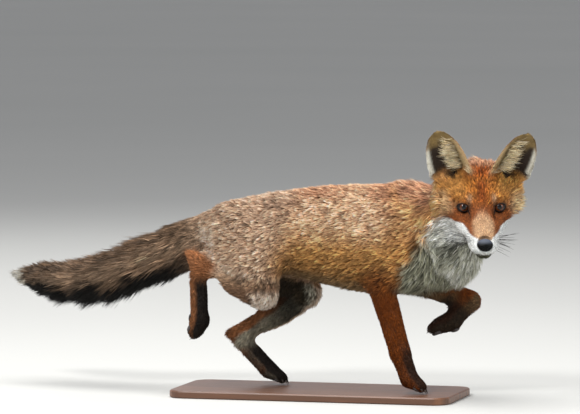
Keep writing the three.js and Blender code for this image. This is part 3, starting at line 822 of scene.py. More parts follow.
def thighMarksShadeAndLight(place, out):
    x, y, z = place.T
    at = {"x": x, "z": z, "front": out[:, 0], "inner": -out[:, 1] * np.sign(y)}
    # the thigh darker and warmer towards the bottom: painted shade under it
    c = mix(tones["rump"] * (1, 1.06, 1.16), tones["rump"] * (0.78, 0.74, 0.66), zone(at, z=(222, 176)))
    # the thigh's own pale rear edge, brightened past its tone as painted light where the surface turns from
    # the lamps
    c = lay(c, "rumpPale", 0.9 * zone(at, x=(-136, -156), z=(208, 236)), 1.3)
    # the lower thigh darkened further: painted shade
    c = lay(c, "rumpDark", 0.85 * zone(at, z=(212, 166)))
    c = lay(c, "rumpPale", 0.95 * zone(at, z=(182, 164), x=(-98, -78)), 1.15)
    # the inner side: the leg's own pale tone where it faces forward, painted shade elsewhere
    innerPaleAndShade = mix(tones["shadedBelly"] * 0.16, tones["legInner"], zone(at, front=(0.25, 0.75)))
    return mix(c, innerPaleAndShade, zone(at, inner=(0.2, 0.7)))


def legMarks(place, out, black, rust="legRust", pale="legInner"):
    at = {"inner": -out[:, 1] * np.sign(place[:, 1]), "back": out @ (-0.75, 0, 0.6)}
    c = mix(tones[rust], tones[pale], 0.95 * zone(at, inner=(0.0, 0.5), back=(0.3, -0.1)))
    return lay(c, "black", black)


def shankMarksAndShade(place, out):  # grizzled like the thigh above, rusty near the hock, with painted shade on the inner side away from the hock
    c = legMarks(place, out, np.zeros(len(place)))
    far = np.full(len(place), 1e9)
    for hand, s in hands.items():
        hock = np.array(joints[hand]["hock"]) + (0, 0, ground)
        far = np.where(place[:, 1] * s > 0, np.linalg.norm(place - hock, axis=1), far)
    outer = ramp(out[:, 1] * np.sign(place[:, 1]), -0.5, 0.1)
    # painted shade on the inner side, away from the hock
    c = c * (1 - 0.85 * ramp(far, 40, 110) * (1 - outer))[:, None]
    return mix(c, thighMarksShadeAndLight(place, out), ramp(far, 30, 52) * outer)


def markingsShadeAndLight(points, normals, share):
    place, head = points / mm, inHeadAxes(points)
    x, y, z = place.T
    front = ramp(normals[:, 0], 0.0, 0.45)
    blackHind = np.maximum(ramp(normals[:, 0], -0.35, 0.1), 0.7 * ramp(z, 122, 100))
    blackFore = np.where(y > 0, 0.85, 0.25 + 0.6 * front)
    parts = {
        "trunk": trunkMarksShadeAndHighlight(place, normals), "neck": neckMarksAndShade(place, normals),
        "head": headMarksAndShade(head, normals @ headAxes), "ear": earMarksAndShade(head, normals @ headAxes),
        "tail": tailMarks(place, normals), "thigh": thighMarksShadeAndLight(place, normals),
        "shank": shankMarksAndShade(place, normals), "hindfoot": legMarks(place, normals, blackHind),
        "forearm": legMarks(place, normals, 0.8 * front * ramp(z, 110, 70), "deepRust", "foreInner"),
        "forefoot": legMarks(place, normals, blackFore, "deepRust", "foreInner"),
    }
    hue = sum(parts[g] * share[:, [i]] for i, g in enumerate(groups))
    # painted shade along the fold between flank and thigh
    crease = np.minimum(*[foldNear(points, hand) for hand in hands])
    return lay(hue, "rumpDark", creaseLook["shade"] * bell(crease, 0, creaseLook["shadeWide"]), 0.5)


def paintPoints(mesh, colours):
    layer = mesh.color_attributes.new("coat", "FLOAT_COLOR", "POINT")
    flat = np.ones((len(colours), 4), np.float32)
    flat[:, :3] = np.clip(colours, 0, 1)
    layer.data.foreach_set("color", flat.ravel())


paintPoints(melted, markingsShadeAndLight(points, normals, share) * 0.8)
skin = newObject("skin", melted)
melted.name = "skin"

hairCloth, wire, shader = newMaterial("coat", Roughness=0.6, Specular_IOR_Level=0.16)
tint = wire.node("ShaderNodeVertexColor", layer_name="coat")
streak = wire.noise(wire.place(), 260.0, 2.0)
plug(wire.shaded(tint, ((0.9, 0.86, 0.8), 0.5), streak.clip(0.3, 0.75)), shader, "Base Color")

skinCloth, wire, shader = newMaterial("skin", Specular_IOR_Level=0.25)
place = wire.place()
tint = wire.node("ShaderNodeVertexColor", layer_name="coat")
short, broad = wire.noise(place, 900.0, 3.0), wire.noise(place, 120.0, 2.0)
mottle = (short * 0.6 + broad * 0.4).clip(0.35, 0.7)
plug(wire.shaded(tint, ((0.6, 0.55, 0.5), 1.0), mottle), shader, "Base Color")
plug(0.7 + broad * 0.2, shader, "Roughness")
plug(wire.bump(short, 0.0006, 0.7), shader, "Normal")
finishPiece(skin, skinCloth, flesh)

leatherLook = {  # colour, gloss, grains to the metre, depth of the grain and shine
    "nose_leather": (tone(6, 6, 6), 0.26, 1500.0, 0.2, 0.09),
    "lid": (tone(16, 13, 12), 0.35, 1900.0, 0.1, 0.12),
    "pad": (tone(46, 40, 38), 0.5, 900.0, 0.3, 0.4),
    "claw": (tone(52, 44, 38), 0.25, 400.0, 0.08, 0.4),
    "whisker": (tone(22, 18, 16), 0.35, 500.0, 0.02, 0.4),
}
noseSkyReflection = {"colour": tone(78, 82, 92), "from": onHead(69.5, 0, -27.5).z, "over": 0.007}


def leatherFinish(name):
    colour, gloss, grain, depth, shine = leatherLook[name]
    made, wire, shader = newMaterial(name, Specular_IOR_Level=shine)
    place = wire.place()
    pebble = wire.node("ShaderNodeTexVoronoi", {"Vector": place, "Scale": grain})
    mottle = wire.noise(place, grain * 0.2, 3.0)
    hue = wire.blend(rgba(colour), rgba(colour * 2.2), mottle.clip(0.4, 0.75))
    if name == "nose_leather":  # its top painted paler blue-grey: a painted reflection of the sky
        height = wire.node("ShaderNodeSeparateXYZ", {0: place}, out=2)
        high = height.clip(noseSkyReflection["from"], noseSkyReflection["from"] + noseSkyReflection["over"])
        hue = wire.blend(hue, rgba(noseSkyReflection["colour"]), high)
    plug(hue, shader, "Base Color")
    plug(gloss + mottle * 0.25, shader, "Roughness")
    plug(wire.bump(pebble, depth * mm, 0.8), shader, "Normal")
    return made


leathers = {name: leatherFinish(name) for name in leatherLook}

# A tuft is a lock of hair: a point at its root, rings of three points and a point at its tip.
ringsAt = {1: (0, 0.36, 1), 3: (0, 0.2, 0.46, 0.74, 1), 5: (0, 0.12, 0.3, 0.5, 0.7, 0.87, 1)}
ringWidths = {1: (1,), 3: (0.92, 1, 0.6), 5: (1, 0.92, 0.8, 0.62, 0.4)}
patchHalf = 0.0015  # half of a tuft's own patch in the skin's layout


def tuftFaces(rings):
    size = 2 + 3 * rings
    tris, quads = [], []
    for i in range(3):
        j = (i + 1) % 3
        tris.append((0, 1 + j, 1 + i))
        tris.append((size - 1, size - 4 + i, size - 4 + j))
        for low in range(1, 3 * rings - 2, 3):
            quads.append((low + i, low + j, low + 3 + j, low + 3 + i))
    return np.array(tris), np.array(quads, int).reshape(-1, 4)


def growTufts(name, centres, half, outward, colours, patch=None, flat=0.5):
    # centres: every tuft's middle line, root to tip; half: half widths at the rings between
    many, stations = centres.shape[:2]
    rings = stations - 2
    size = 2 + 3 * rings
    verts, shade = np.empty((many, size, 3)), np.empty((many, size, 3))
    corner = np.zeros((many, size, 2))
    verts[:, 0], verts[:, -1] = centres[:, 0], centres[:, -1]
    shade[:, 0], shade[:, -1] = colours[:, 0], colours[:, -1]
    corner[:, 0, 1], corner[:, -1, 1] = -1, 1
    for k in range(1, rings + 1):
        along = unit(centres[:, k + 1] - centres[:, k - 1])
        across = unit(np.cross(outward, along))
        w = half[:, k - 1, None]
        above = np.cross(along, across) * w * flat
        first = 3 * k - 2
        verts[:, first] = centres[:, k] + above
        verts[:, first + 1] = centres[:, k] + across * w - above * 0.5
        verts[:, first + 2] = centres[:, k] - across * w - above * 0.5
        shade[:, first:first + 3] = colours[:, k, None]
        corner[:, first:first + 3, 0] = (0, -1, 1)
        corner[:, first:first + 3, 1] = 2 * k / (stations - 1) - 1
    start = (np.arange(many) * size)[:, None, None]
    triLoops, quadLoops = [(faces[None] + start).reshape(-1) for faces in tuftFaces(rings)]
    loops = np.concatenate([triLoops, quadLoops]).astype(np.int32)
    starts = np.concatenate([
        np.arange(0, len(triLoops), 3), len(triLoops) + np.arange(0, len(quadLoops), 4)
    ]).astype(np.int32)
    mesh = bpy.data.meshes.new(name)
    mesh.vertices.add(many * size)
    mesh.vertices.foreach_set("co", verts.astype(np.float32).ravel())
    mesh.loops.add(len(loops))
    mesh.loops.foreach_set("vertex_index", loops)
    mesh.polygons.add(len(starts))
    mesh.polygons.foreach_set("loop_start", starts)
    mesh.update(calc_edges=True)
    paintPoints(mesh, shade.reshape(-1, 3))
    if patch is not None:
        spots = (patch[:, None] + corner * patchHalf).reshape(-1, 2)
        layer = mesh.uv_layers.new(name="OFBake")
        layer.data.foreach_set("uv", spots[loops].astype(np.float32).ravel())
    return newObject(name, mesh)


def unwrapFaces(faces):  # the skin's own faces laid flat, as corner places from 0 to 1
    used, fresh = np.unique(faces, return_inverse=True)
    mesh = bpy.data.meshes.new("patch")
    mesh.from_pydata(points[used].tolist(), [], fresh.reshape(-1, 3).tolist())
    made = newObject("patch", mesh)
    bpy.context.view_layer.objects.active = made
    made.select_set(True)
    bpy.ops.object.mode_set(mode="EDIT")
    bpy.ops.mesh.select_all(action="SELECT")
    bpy.ops.uv.smart_project(angle_limit=math.radians(60), island_margin=0.004)
    bpy.ops.object.mode_set(mode="OBJECT")
    spots = np.empty(len(mesh.loops) * 2)
    mesh.uv_layers.active.data.foreach_get("uv", spots)
    bpy.data.objects.remove(made)
    return spots.reshape(-1, 3, 2) * 0.996 + 0.002


class Sowing:  # roots spread over some of the skin's faces, thicker where asked
    def __init__(self, faces, amount, thickness):
        corners = points[faces]
        area = np.linalg.norm(
            np.cross(corners[:, 1] - corners[:, 0], corners[:, 2] - corners[:, 0]), axis=1
        )
        weight = area * thickness[faces].mean(1)
        self.faces = faces
        self.pick = dice.choice(len(faces), amount, p=weight / weight.sum())
        a, b = np.sqrt(dice.random(amount)), dice.random(amount)
        self.bary = np.stack([1 - a, a * (1 - b), a * b], 1)

    def keep(self, kept):
        self.pick, self.bary = self.pick[kept], self.bary[kept]

    def take(self, values):  # the skin's values at the roots
        weights = self.bary.reshape(len(self.pick), 3, *([1] * (values.ndim - 1)))
        return (values[self.faces[self.pick]] * weights).sum(1)

    def patches(self):  # the roots' places in the layout of the faces
        return (unwrapFaces(self.faces)[self.pick] * self.bary[:, :, None]).sum(1)


sideLook = {
    "of": ("trunk",), "tufts": 33000, "widest": 0.6, "clump": 0.62, "swing": 9, "fleck": 0.42,
    "ripple": 0.36, "root": 0.14, "blush": 0.8,
}
coatPieces = {
    "coat_head": {
        "of": ("head",), "tufts": 32500, "widest": 0.52, "clump": 0.22, "swing": 8, "fleck": 0.27,
        "ripple": 0.14, "root": 0.34,
    },
    "coat_ears": {"of": ("ear",), "tufts": 14000, "widest": 0.36, "swing": 10, "fleck": 0.2},
    "coat_neck": {
        "of": ("neck",), "tufts": 31000, "widest": 0.62, "clump": 0.6, "swing": 12, "fleck": 0.62,
        "ripple": 0.25, "root": 0.08, "blush": 0.5,
    },
    "coat_right_side": {**sideLook, "side": -1},
    "coat_left_side": {**sideLook, "side": 1},
    "coat_thighs": {
        "of": ("thigh",), "tufts": 24000, "widest": 0.62, "clump": 0.55, "swing": 12, "fleck": 0.5,
        "ripple": 0.6, "root": 0.1, "blush": 0.7,
    },
    "coat_tail": {
        "of": ("tail",), "tufts": 32000, "widest": 0.8, "clump": 0.4, "swing": 9, "fleck": 0.5,
        "root": 0.25,
    },
    "coat_forelegs": {
        "of": ("forearm", "forefoot"), "tufts": 24000, "widest": 0.42, "clump": 0.1, "swing": 8,
        "fleck": 0.16,
    },
    "coat_hindlegs": {
        "of": ("shank", "hindfoot"), "tufts": 26000, "widest": 0.5, "clump": 0.3, "swing": 9,
        "fleck": 0.28, "ripple": 0.25, "root": 0.35,
    },
}
plainLook = {"clump": 0, "ripple": 0, "root": 0.5, "blush": 0.2, "side": 0}  # where a piece says nothing
# What all the coat pieces share. A tuft's half width is a base and a share of its length, within a
# least and the piece's widest; its brightness has a part of its own, its lock's and a broad one.
tuftLook = {
    "sunk": 0.6, "width": (0.12, 0.042, 0.28), "drift": 1.1, "cover": 0.86, "lift": (0.1, 0.5),
    "liftSpread": (0.55, 1.2), "longSpread": (0.72, 1.16), "longWave": 0.14, "droop": 0.05,
    "lock": 9, "pull": (0.4, 1.4), "own": 0.5, "shared": 0.75, "broad": 0.3, "paleFleck": 0.4,
    "tailEnd": -0.49, "tailLift": 1.35, "warmer": (1.05, 0.92, 0.8),
}
warmth = {"at": (0, 0.4, 1), "red": (1.2, 1.1, 1.0), "green": (0.74, 0.9, 1.04), "blue": (0.5, 0.8, 1.14)}
rowsAcross = np.array([(0.82 * 2.6, 0, -0.57), (0, 1, 0), (0.57 * 2.6, 0, 0.82)])  # the ripples' axes
main = share.argmax(1)
noseBare = {"centre": (69.5, 0, -29), "size": (10.6, 12.4, 9)}


def bareSpots(head):  # where no hair grows: the eyes, the nose and the line of the lips
    nose = (((head - np.array(noseBare["centre"])) / np.array(noseBare["size"])) ** 2).sum(1)
    return (nearEyes(head) < 1.28) | (nose < 1) | ((mouthBoth(head) < 1.15) & (head[:, 0] > -6))


def pale(root):  # 1 on the pale chest, 0 elsewhere
    return ramp(pastChest(root / mm), -5, 10) * (root[:, 0] > 0.1)


def sowPiece(look):
    inside = np.isin(main[triangles], [groups.index(g) for g in look["of"]]).sum(1) >= 2
    if look["side"]:
        inside &= points[triangles][:, :, 1].mean(1) * look["side"] > 0
    base, slope, least = tuftLook["width"]
    half = np.clip(base + slope * length, least, look["widest"])
    hair = Sowing(triangles[inside], look["tufts"], 1 / (length * half))
    hair.keep(~bareSpots(inHeadAxes(hair.take(points))))
    return hair, hair.take(half)


def combed(hair, look, root, out, t):  # each tuft's middle line
    many = len(root)
    along = flatOn(hair.take(way), out)
    long, deep = hair.take(length), hair.take(depth)
    swing = dice.normal(size=many) + tuftLook["drift"] * wave(root / mm, 34, 11)
    swing = np.radians(look["swing"]) * swing
    along = along * np.cos(swing)[:, None] + np.cross(out, along) * np.sin(swing)[:, None]
    lift = np.arcsin(np.clip(deep / (tuftLook["cover"] * long), *tuftLook["lift"]))
    lift = lift * dice.uniform(*tuftLook["liftSpread"], many)
    tipAxis = unit(tailLine[-1, :3] - tailLine[-3, :3])
    end = ramp(out @ tipAxis, 0.35, 0.9) * (root[:, 0] < tuftLook["tailEnd"])
    lift = lift * (1 - end) + tuftLook["tailLift"] * end  # the hairs of the tail's end point along it
    long = long * dice.uniform(*tuftLook["longSpread"], many) * mm
    long = long * (1 + tuftLook["longWave"] * wave(root / mm, 22, 12))
    flatWay, upWay = along * (long * np.cos(lift))[:, None], out * (long * np.sin(lift))[:, None]
    line = (root - out * tuftLook["sunk"] * mm)[:, None] + flatWay[:, None] * t[:, None]
    line += upWay[:, None] * (1.4 * t - 0.4 * t * t)[:, None]
    line[:, :, 2] -= (tuftLook["droop"] * long)[:, None] * t * t
    return line


def gathered(line, clump, t):  # tips drawn together in locks; returns which tuft leads each one's lock
    leaders = np.arange(0, len(line), tuftLook["lock"])
    tree = KDTree(len(leaders))
    for i, n in enumerate(leaders):
        tree.insert(line[n, -1], i)
    tree.balance()
    chief = leaders[[tree.find(p)[1] for p in line[:, -1]]]
    pull = clump * dice.uniform(*tuftLook["pull"], len(line))
    line += (line[chief, -1] - line[:, -1])[:, None] * (pull[:, None] * t ** 1.6)[:, :, None]
    return chief


def tinted(look, root, out, parts, shared, t):  # each tuft's colours from root to tip
    many = len(root)
    hue = markingsShadeAndLight(root, out, parts)
    fleck = dice.normal(size=many) * tuftLook["own"] + tuftLook["shared"] * shared
    fleck = fleck + tuftLook["broad"] * wave(root / mm, 16, 13)
    ripple = wave(root @ rowsAcross / mm, 8, 41)  # rows of pale tips over darker rows: the coat's own pattern, with painted shade in the gaps between rows
    light = np.exp(look["fleck"] * fleck + look["ripple"] * ripple)
    light = light * np.exp(tuftLook["paleFleck"] * pale(root) * dice.normal(size=many))
    hue = hue * light[:, None]
    hue = mix(hue, hue * tuftLook["warmer"], dice.random(many) * 0.5)
    # each tuft darker at its root and paler at its tip: partly the darker undercoat, partly painted shade
    # where the tufts shade each other
    fade = np.interp(t, (0, 0.35, 0.75, 1), (look["root"], 0.35 + look["root"], 1.1, 1.25))
    blush = look["blush"] * (1 - pale(root))[:, None, None]  # rust at the roots under paler tips
    warm = np.array([np.interp(t, warmth["at"], warmth[k]) for k in ("red", "green", "blue")]).T
    return hue[:, None] * fade[:, None] * (1 + (warm - 1) * blush)


for name, settings in coatPieces.items():
    look = {**plainLook, **settings}
    t = np.array(ringsAt[1])
    hair, half = sowPiece(look)
    root, out = hair.take(points), unit(hair.take(normals))
    line = combed(hair, look, root, out, t)
    shared = dice.normal(size=len(root))
    if look["clump"]:
        shared = shared[gathered(line, look["clump"], t)]
    colours = tinted(look, root, out, hair.take(share), shared, t)
    widths = (half * mm)[:, None] * np.array(ringWidths[1])
    made = growTufts(name, line, widths, out, colours, hair.patches())
    finishPiece(made, hairCloth)
    print("grew", name)


def tube(name, places, radii, closed=False):  # for the lids' edges and the lips
    curve = bpy.data.curves.new(name, "CURVE")
    curve.dimensions = "3D"
    curve.bevel_depth = 1.0
    curve.bevel_resolution = 3
    curve.use_fill_caps = not closed
    line = curve.splines.new("POLY")
    line.points.add(len(places) - 1)
    for point, p, r in zip(line.points, places, radii):
        point.co = (*p, 1)
        point.radius = r
    line.use_cyclic_u = closed
    mesh = applied(newObject(name, curve))
    bm = bmesh.new()
    bm.from_mesh(mesh)
    bmesh.ops.remove_doubles(bm, verts=bm.verts, dist=1e-7)
    bmesh.ops.recalc_face_normals(bm, faces=bm.faces)
    bpy.data.meshes.remove(mesh)
    return bm


def joinBmesh(into, other, outward=False):
    if outward:
        bmesh.ops.recalc_face_normals(other, faces=other.faces)
    mesh = bpy.data.meshes.new("part")
    other.to_mesh(mesh)
    other.free()
    into.from_mesh(mesh)
    bpy.data.meshes.remove(mesh)


def onSkin(place, away):  # the skin's nearest point, moved outward by a little
    near, normal, *_ = skinTree.find_nearest(place)
    return near + normal * away


irisLook = {"pupil": 3.8, "edge": 0.15, "squash": (1.18, 0.92, 0), "iris": 7.6, "cornea": 0.5}
irisStops = [
    (0.45, tone(44, 21, 8)), (0.64, tone(88, 44, 16)), (0.8, tone(66, 31, 12)),
    (0.93, tone(26, 14, 8)), (1.0, tone(10, 7, 6)),
]
irisFinish, wire, shader = newMaterial(
    "eye", Roughness=0.6, Coat_Weight=0.8, Coat_Roughness=0.01, Specular_IOR_Level=0.0
)
gaze = wire.node("ShaderNodeAttribute", attribute_name="gaze", out=1)
far, slit = [
    wire.vector("LENGTH", wire.vector("MULTIPLY", gaze, stretch), out=1)
    for stretch in ((1, 1, 0), irisLook["squash"])
]
spokes = wire.noise(wire.vector("NORMALIZE", gaze), 26.0, 3.0)
ring = far * (1 / irisLook["iris"]) + (spokes - 0.5) * 0.12
amber = wire.node("ShaderNodeValToRGB", {0: ring}, stops=irisStops)
pupil = 1 - slit.clip(irisLook["pupil"] - irisLook["edge"], irisLook["pupil"] + irisLook["edge"])
plug(wire.blend(amber, rgba(tone(5, 4, 4)), pupil), shader, "Base Color")

lidLook = {
    "points": 56, "off": 0.45, "upper": 0.65, "lower": 0.5, "cornerWidths": (0.9, 0.8, 0.5, 0.15),
    "corner": [(-1.0, 21.6, -3.6), (2.5, 19.8, -6.2), (6.5, 18.6, -9.2), (11, 17.8, -12.2)],
}


def eyeball(hand, eye):
    radius = eyeLook["radius"]
    look = unit(np.array(eyeLook["gaze"]) * (1, hands[hand], 1))
    side = unit(np.cross((0, 0, 1.0), look))
    axes = np.stack([side, np.cross(look, side), look], 1)
    bm = bmesh.new()
    bmesh.ops.create_uvsphere(bm, u_segments=48, v_segments=32, radius=radius)
    for v in bm.verts:
        v.co *= 1 + irisLook["cornea"] / radius * float(ramp(v.co.z / radius, 0.7, 1))
    local = np.array([v.co[:] for v in bm.verts])
    for v, p in zip(bm.verts, local @ axes.T + eye["centre"]):
        v.co = onHead(*p)
    made = fromBmesh("eyeball_" + hand, bm)
    layer = made.data.attributes.new("gaze", "FLOAT_VECTOR", "POINT")
    layer.data.foreach_set("vector", local.astype(np.float32).ravel())
    finishPiece(made, irisFinish, ["eye_" + hand])


def lidEdge(eye):
    ring, radii = [], []
    for i in range(lidLook["points"]):
        a = 2 * math.pi * i / lidLook["points"]
        c, s = math.cos(a), math.sin(a)
        tall = eyeLook["above"] if s > 0 else eyeLook["below"]
        x = eyeLook["width"] * math.copysign(abs(c) ** (2 / eyeLook["sideCurve"]), c)
        y = tall * math.copysign(abs(s) ** (2 / eyeLook["rimCurve"]), s)
        z = math.sqrt(max(eyeLook["radius"] ** 2 - x * x - y * y, 0))
        outward = (eye["outward"] * x + eye["upward"] * y + eye["opening"] * z) / eyeLook["radius"]
        ring.append(onHead(*(eye["centre"] + outward * (eyeLook["radius"] + lidLook["off"]))))
        radii.append((lidLook["upper"] if s > -0.2 else lidLook["lower"]) * mm)
    return tube("lid", ring, radii, closed=True)


for hand, eye in eyes.items():
    eyeball(hand, eye)
    lids = bmesh.new()
    joinBmesh(lids, lidEdge(eye))
    corner = [onSkin(onHead(f, hands[hand] * s, u), 0.1 * mm) for f, s, u in lidLook["corner"]]
    joinBmesh(lids, tube("corner", corner, [r * mm for r in lidLook["cornerWidths"]]))
    finishPiece(fromBmesh("lids_" + hand, lids), leathers["lid"])
print("set the eyes")

noseLook = {  # depths and heights in millimetres, the rest in parts of the nose's own size
    "centre": (69.5, 0, -29), "size": (11, 12.6, 8.9), "squareness": 0.45, "crest": 1.6, "taper": 0.3,
    "nostril": 3.6, "pit": (0.5, 0.17, -0.02, 0.22), "slitWide": 0.1, "slitDeep": 0.62,
    "slit": [(0.5, -0.08, 0), (0.78, -0.24, 0), (0.97, -0.16, 0)],
    "wing": (0.72, 0.2, 0.22, 0.26), "wingHigh": 0.8, "groove": 1.1, "grooveWide": 0.055,
}


def blob(s, u, middle, wide, height, tall):
    return bell(s, middle, wide) * bell(u, height, tall)


def noseShape(local):
    f, s, u = local.T
    share = noseLook["squareness"]
    squarer = np.sign(local) * np.abs(local) ** 0.9
    shape = (local * (1 - share) + squarer * share) * noseLook["size"] + np.array(noseLook["centre"])
    shape[:, 2] += noseLook["crest"] * ramp(u, 0.1, 0.9) * ramp(f, 0.4, -0.6)
    shape[:, 1] *= 1 - noseLook["taper"] * ramp(u, 0.0, -0.95)  # narrower towards the lip
    for h in (-1, 1):
        pit = blob(h * s, u, *noseLook["pit"]) * (f > 0)
        slit = bell(nearLine(np.stack([s * h, u, 0 * u], 1), noseLook["slit"]), 0, noseLook["slitWide"])
        deep = noseLook["nostril"] * np.maximum(pit, noseLook["slitDeep"] * slit * (f > -0.3))
        wing = noseLook["wingHigh"] * blob(h * s, u, *noseLook["wing"]) * (f > -0.2)
        shape -= unit(local) * (deep - wing)[:, None]
    groove = bell(s, 0, noseLook["grooveWide"]) * ramp(u, 0.25, -0.1) * (f > 0)
    shape[:, 0] -= noseLook["groove"] * groove
    return shape


bm = bmesh.new()
bmesh.ops.create_uvsphere(bm, u_segments=72, v_segments=48, radius=1)
local = np.array([v.co[:] for v in bm.verts])[:, [2, 0, 1]]  # the pole faces forward
for v, p in zip(bm.verts, noseShape(local)):
    v.co = onHead(*p)
finishPiece(fromBmesh("nose_pad", bm, outward=True), leathers["nose_leather"], ["nose"])

lipLook = {
    "off": 0.05, "widthAt": (0, 3, 18), "widths": (0.5, 0.8, 0.9, 0.25), "cleftWidth": 0.7,
    "cleft": [(76, 0, -34), (74, 0, -37), (72, 0, -40), (70, 0, -43)],
}
off = lipLook["off"] * mm
lips = bmesh.new()
for h in (-1, 1):
    line = [onSkin(onHead(f, h * s, u), off) for f, s, u in mouthLine]
    fine = [line[0]]
    for a, b in zip(line[:-1], line[1:]):
        fine += [onSkin(a.lerp(b, t), off) for t in (0.25, 0.5, 0.75, 1)]
    last = len(fine) - 1
    widths = np.interp(range(last + 1), (*lipLook["widthAt"], last), lipLook["widths"])
    joinBmesh(lips, tube("lip", fine, [float(w) * mm for w in widths]))
cleft = [onSkin(onHead(*p), off) for p in lipLook["cleft"]]
joinBmesh(lips, tube("cleft", cleft, [lipLook["cleftWidth"] * mm] * len(cleft)))
finishPiece(fromBmesh("lips", lips), leathers["lid"])

whiskerLook = {
    "rows": 4, "inRow": 5, "half": 0.3, "long": (26, 52), "sag": (-0.26, 0, -0.18), "loose": 0.05,
    "first": (56, 11.5, -28.5), "alongRow": (-6.5, 1.1, -0.6), "rowDown": (-2, 0.7, -3.4),
    "way": (0.28, 0.9, 0.12), "wayAlong": (-0.16, 0, 0), "wayDown": (0, 0.1, -0.22),
}
whiskers = []
t = np.array(ringsAt[5])
for h in (-1, 1):
    for row in range(whiskerLook["rows"]):
        for step in range(whiskerLook["inRow"] - row // 2):
            root, outward = [
                (np.array(whiskerLook[a]) + np.array(whiskerLook[b]) * step + np.array(whiskerLook[c]) * row)
                * (1, h, 1) for a, b, c in (("first", "alongRow", "rowDown"), ("way", "wayAlong", "wayDown"))
            ]
            outward = unit(outward + dice.normal(size=3) * whiskerLook["loose"])
            long = dice.uniform(*whiskerLook["long"]) * (0.55 + 0.13 * step)
            start = inHeadAxes(np.array(onSkin(onHead(*root), 0)))
            line = start + outward * long * t[:, None]
            whiskers.append(offHeadAxes(line + np.array(whiskerLook["sag"]) * long * (t ** 2)[:, None]))
whiskers = np.array(whiskers)
widths = np.tile(np.array(ringWidths[5]) * whiskerLook["half"] * mm, (len(whiskers), 1))
out = unit(np.cross(whiskers[:, 1] - whiskers[:, 0], (0.13, 0.9, 0.3)))
shade = np.ones(whiskers.shape) * tone(40, 34, 30)
made = growTufts("whiskers", whiskers, widths, out, shade, flat=1.0)
finishPiece(made, leathers["whisker"])
print("set the nose, lips and whiskers")

# the long pale hair inside the ears, from their inner edges and from their feet
earHair = {
    "long": 18, "half": 0.3, "many": 1700, "sunk": 0.5, "loose": 0.2,
    "edge": {"outer": (-0.62, -0.12), "up": (0.16, 0.82), "way": (0.78, 0.4, 0.4)},
    "foot": {"outer": (-9, 0.3), "up": (0.04, 0.17), "way": (0.15, 0.9, 0.5)},
}
isInner = np.zeros(len(points), bool)
thick = np.ones(len(points))
lean = np.zeros((len(points), 3))
head = inHeadAxes(points)
for hand, s in hands.items():
    ear = ears[hand]
    up, outer, facing = earPlace(head, normals @ headAxes, ear)
    here = (main == groups.index("ear")) & (head[:, 1] * s > 0) & (facing > -0.2)
    thick = np.where(here, 0.12 + 0.88 * ramp(up, 0.75, 0.35), thick)
    for part in (earHair["edge"], earHair["foot"]):
        (inmost, outmost), (low, high) = part["outer"], part["up"]
        there = here & (outer > inmost) & (outer < outmost) & (up > low) & (up < high)
        isInner |= there
        lean[there] = np.array(part["way"]) @ (ear["across"], ear["rise"], ear["front"])
hair = Sowing(triangles[isInner[triangles].all(1)], earHair["many"], thick)
root, out = hair.take(points), unit(hair.take(normals))
many = len(root)
along = unit(hair.take(lean) + dice.normal(size=(many, 3)) * earHair["loose"]) @ headAxes.T
long = earHair["long"] * dice.uniform(0.35, 1.2, many) * (1 + 0.3 * wave(root / mm, 6, 62)) * mm
t = np.array(ringsAt[3])
line = (root - out * earHair["sunk"] * mm)[:, None] + along[:, None] * long[:, None, None] * t[:, None]
line += out[:, None] * long[:, None, None] * (0.5 * t * (1 - 0.9 * t))[:, None]
hue = lay(np.broadcast_to(tones["earBand"], root.shape), "cream", dice.random(many))
# the hair low in the ear's hollow tinted black: painted shade
low = np.zeros(many)
for ear in ears.values():
    up, outer, facing = earPlace(inHeadAxes(root), out @ headAxes, ear)
    low = np.maximum(low, ramp(up, 0.22, 0.1) * (up > 0) * (np.abs(outer) < 0.35))
hue = lay(hue, "black", 0.9 * low) * np.exp(0.4 * dice.normal(size=(many, 1)))
# each hair darker at its root: painted shade among the hairs
colours = hue[:, None] * np.interp(t, (0, 0.3, 1), (0.55, 0.9, 1.1))[:, None]
widths = np.full((many, 1), earHair["half"] * mm) * np.array(ringWidths[3])
made = growTufts("ear_hair", line, widths, out, colours, hair.patches())
finishPiece(made, hairCloth)

footLook = {
    "spread": (-0.72, -0.26, 0.26, 0.72), "reach": (0.82, 1.02, 1.02, 0.82),
    "claw": 8.5, "clawHalf": 1.7, "clawTip": 0.2, "clawOff": 5.0, "hook": 4.2,
    "toePad": (4.3, 3.2, 6), "toeDrop": (5.0, 1.5),  # a drop is a plain foot's and what thickness adds
    "ballPad": (10, 3.6, 7), "ballDrop": (9.5, 2.1), "lobe": 0.16,
}
feet = {  # where each foot begins and ends, its width, which way its sole faces and how thick it is
    ("right", "fore"): ("knuckle", "toe", 17, (0, 0, -1), 0),
    ("right", "hind"): ("ball", "hindToe", 16, (-1, 0, 0), 2.4),
    ("left", "fore"): ("knuckle", "toe", 17, (0.45, 0, -0.9), 2.8),
    ("left", "hind"): ("ball", "hindToe", 16, (0, 0, -1), 0),
}
claws, pads = bmesh.new(), bmesh.new()


def addClaw(toe, ahead, aside, below):
    long, hook = footLook["claw"], footLook["hook"]
    bm = bmesh.new()
    bmesh.ops.create_cone(
        bm, cap_ends=True, segments=12, radius1=footLook["clawHalf"], radius2=footLook["clawTip"], depth=long
    )
    lengthwise = [e for e in bm.edges if abs((e.verts[0].co - e.verts[1].co).z) > 2]
    bmesh.ops.subdivide_edges(bm, edges=lengthwise, cuts=5)
    for v in bm.verts:
        h = (v.co.z + long / 2) / long
        p = toe + ahead * (footLook["clawOff"] + long * h * (1 - 0.16 * h)) + aside * v.co.x * 0.8
        v.co = spot(*(p + below * (-v.co.y * 1.15 + 0.4 + hook * h * h)))
    joinBmesh(claws, bm, outward=True)


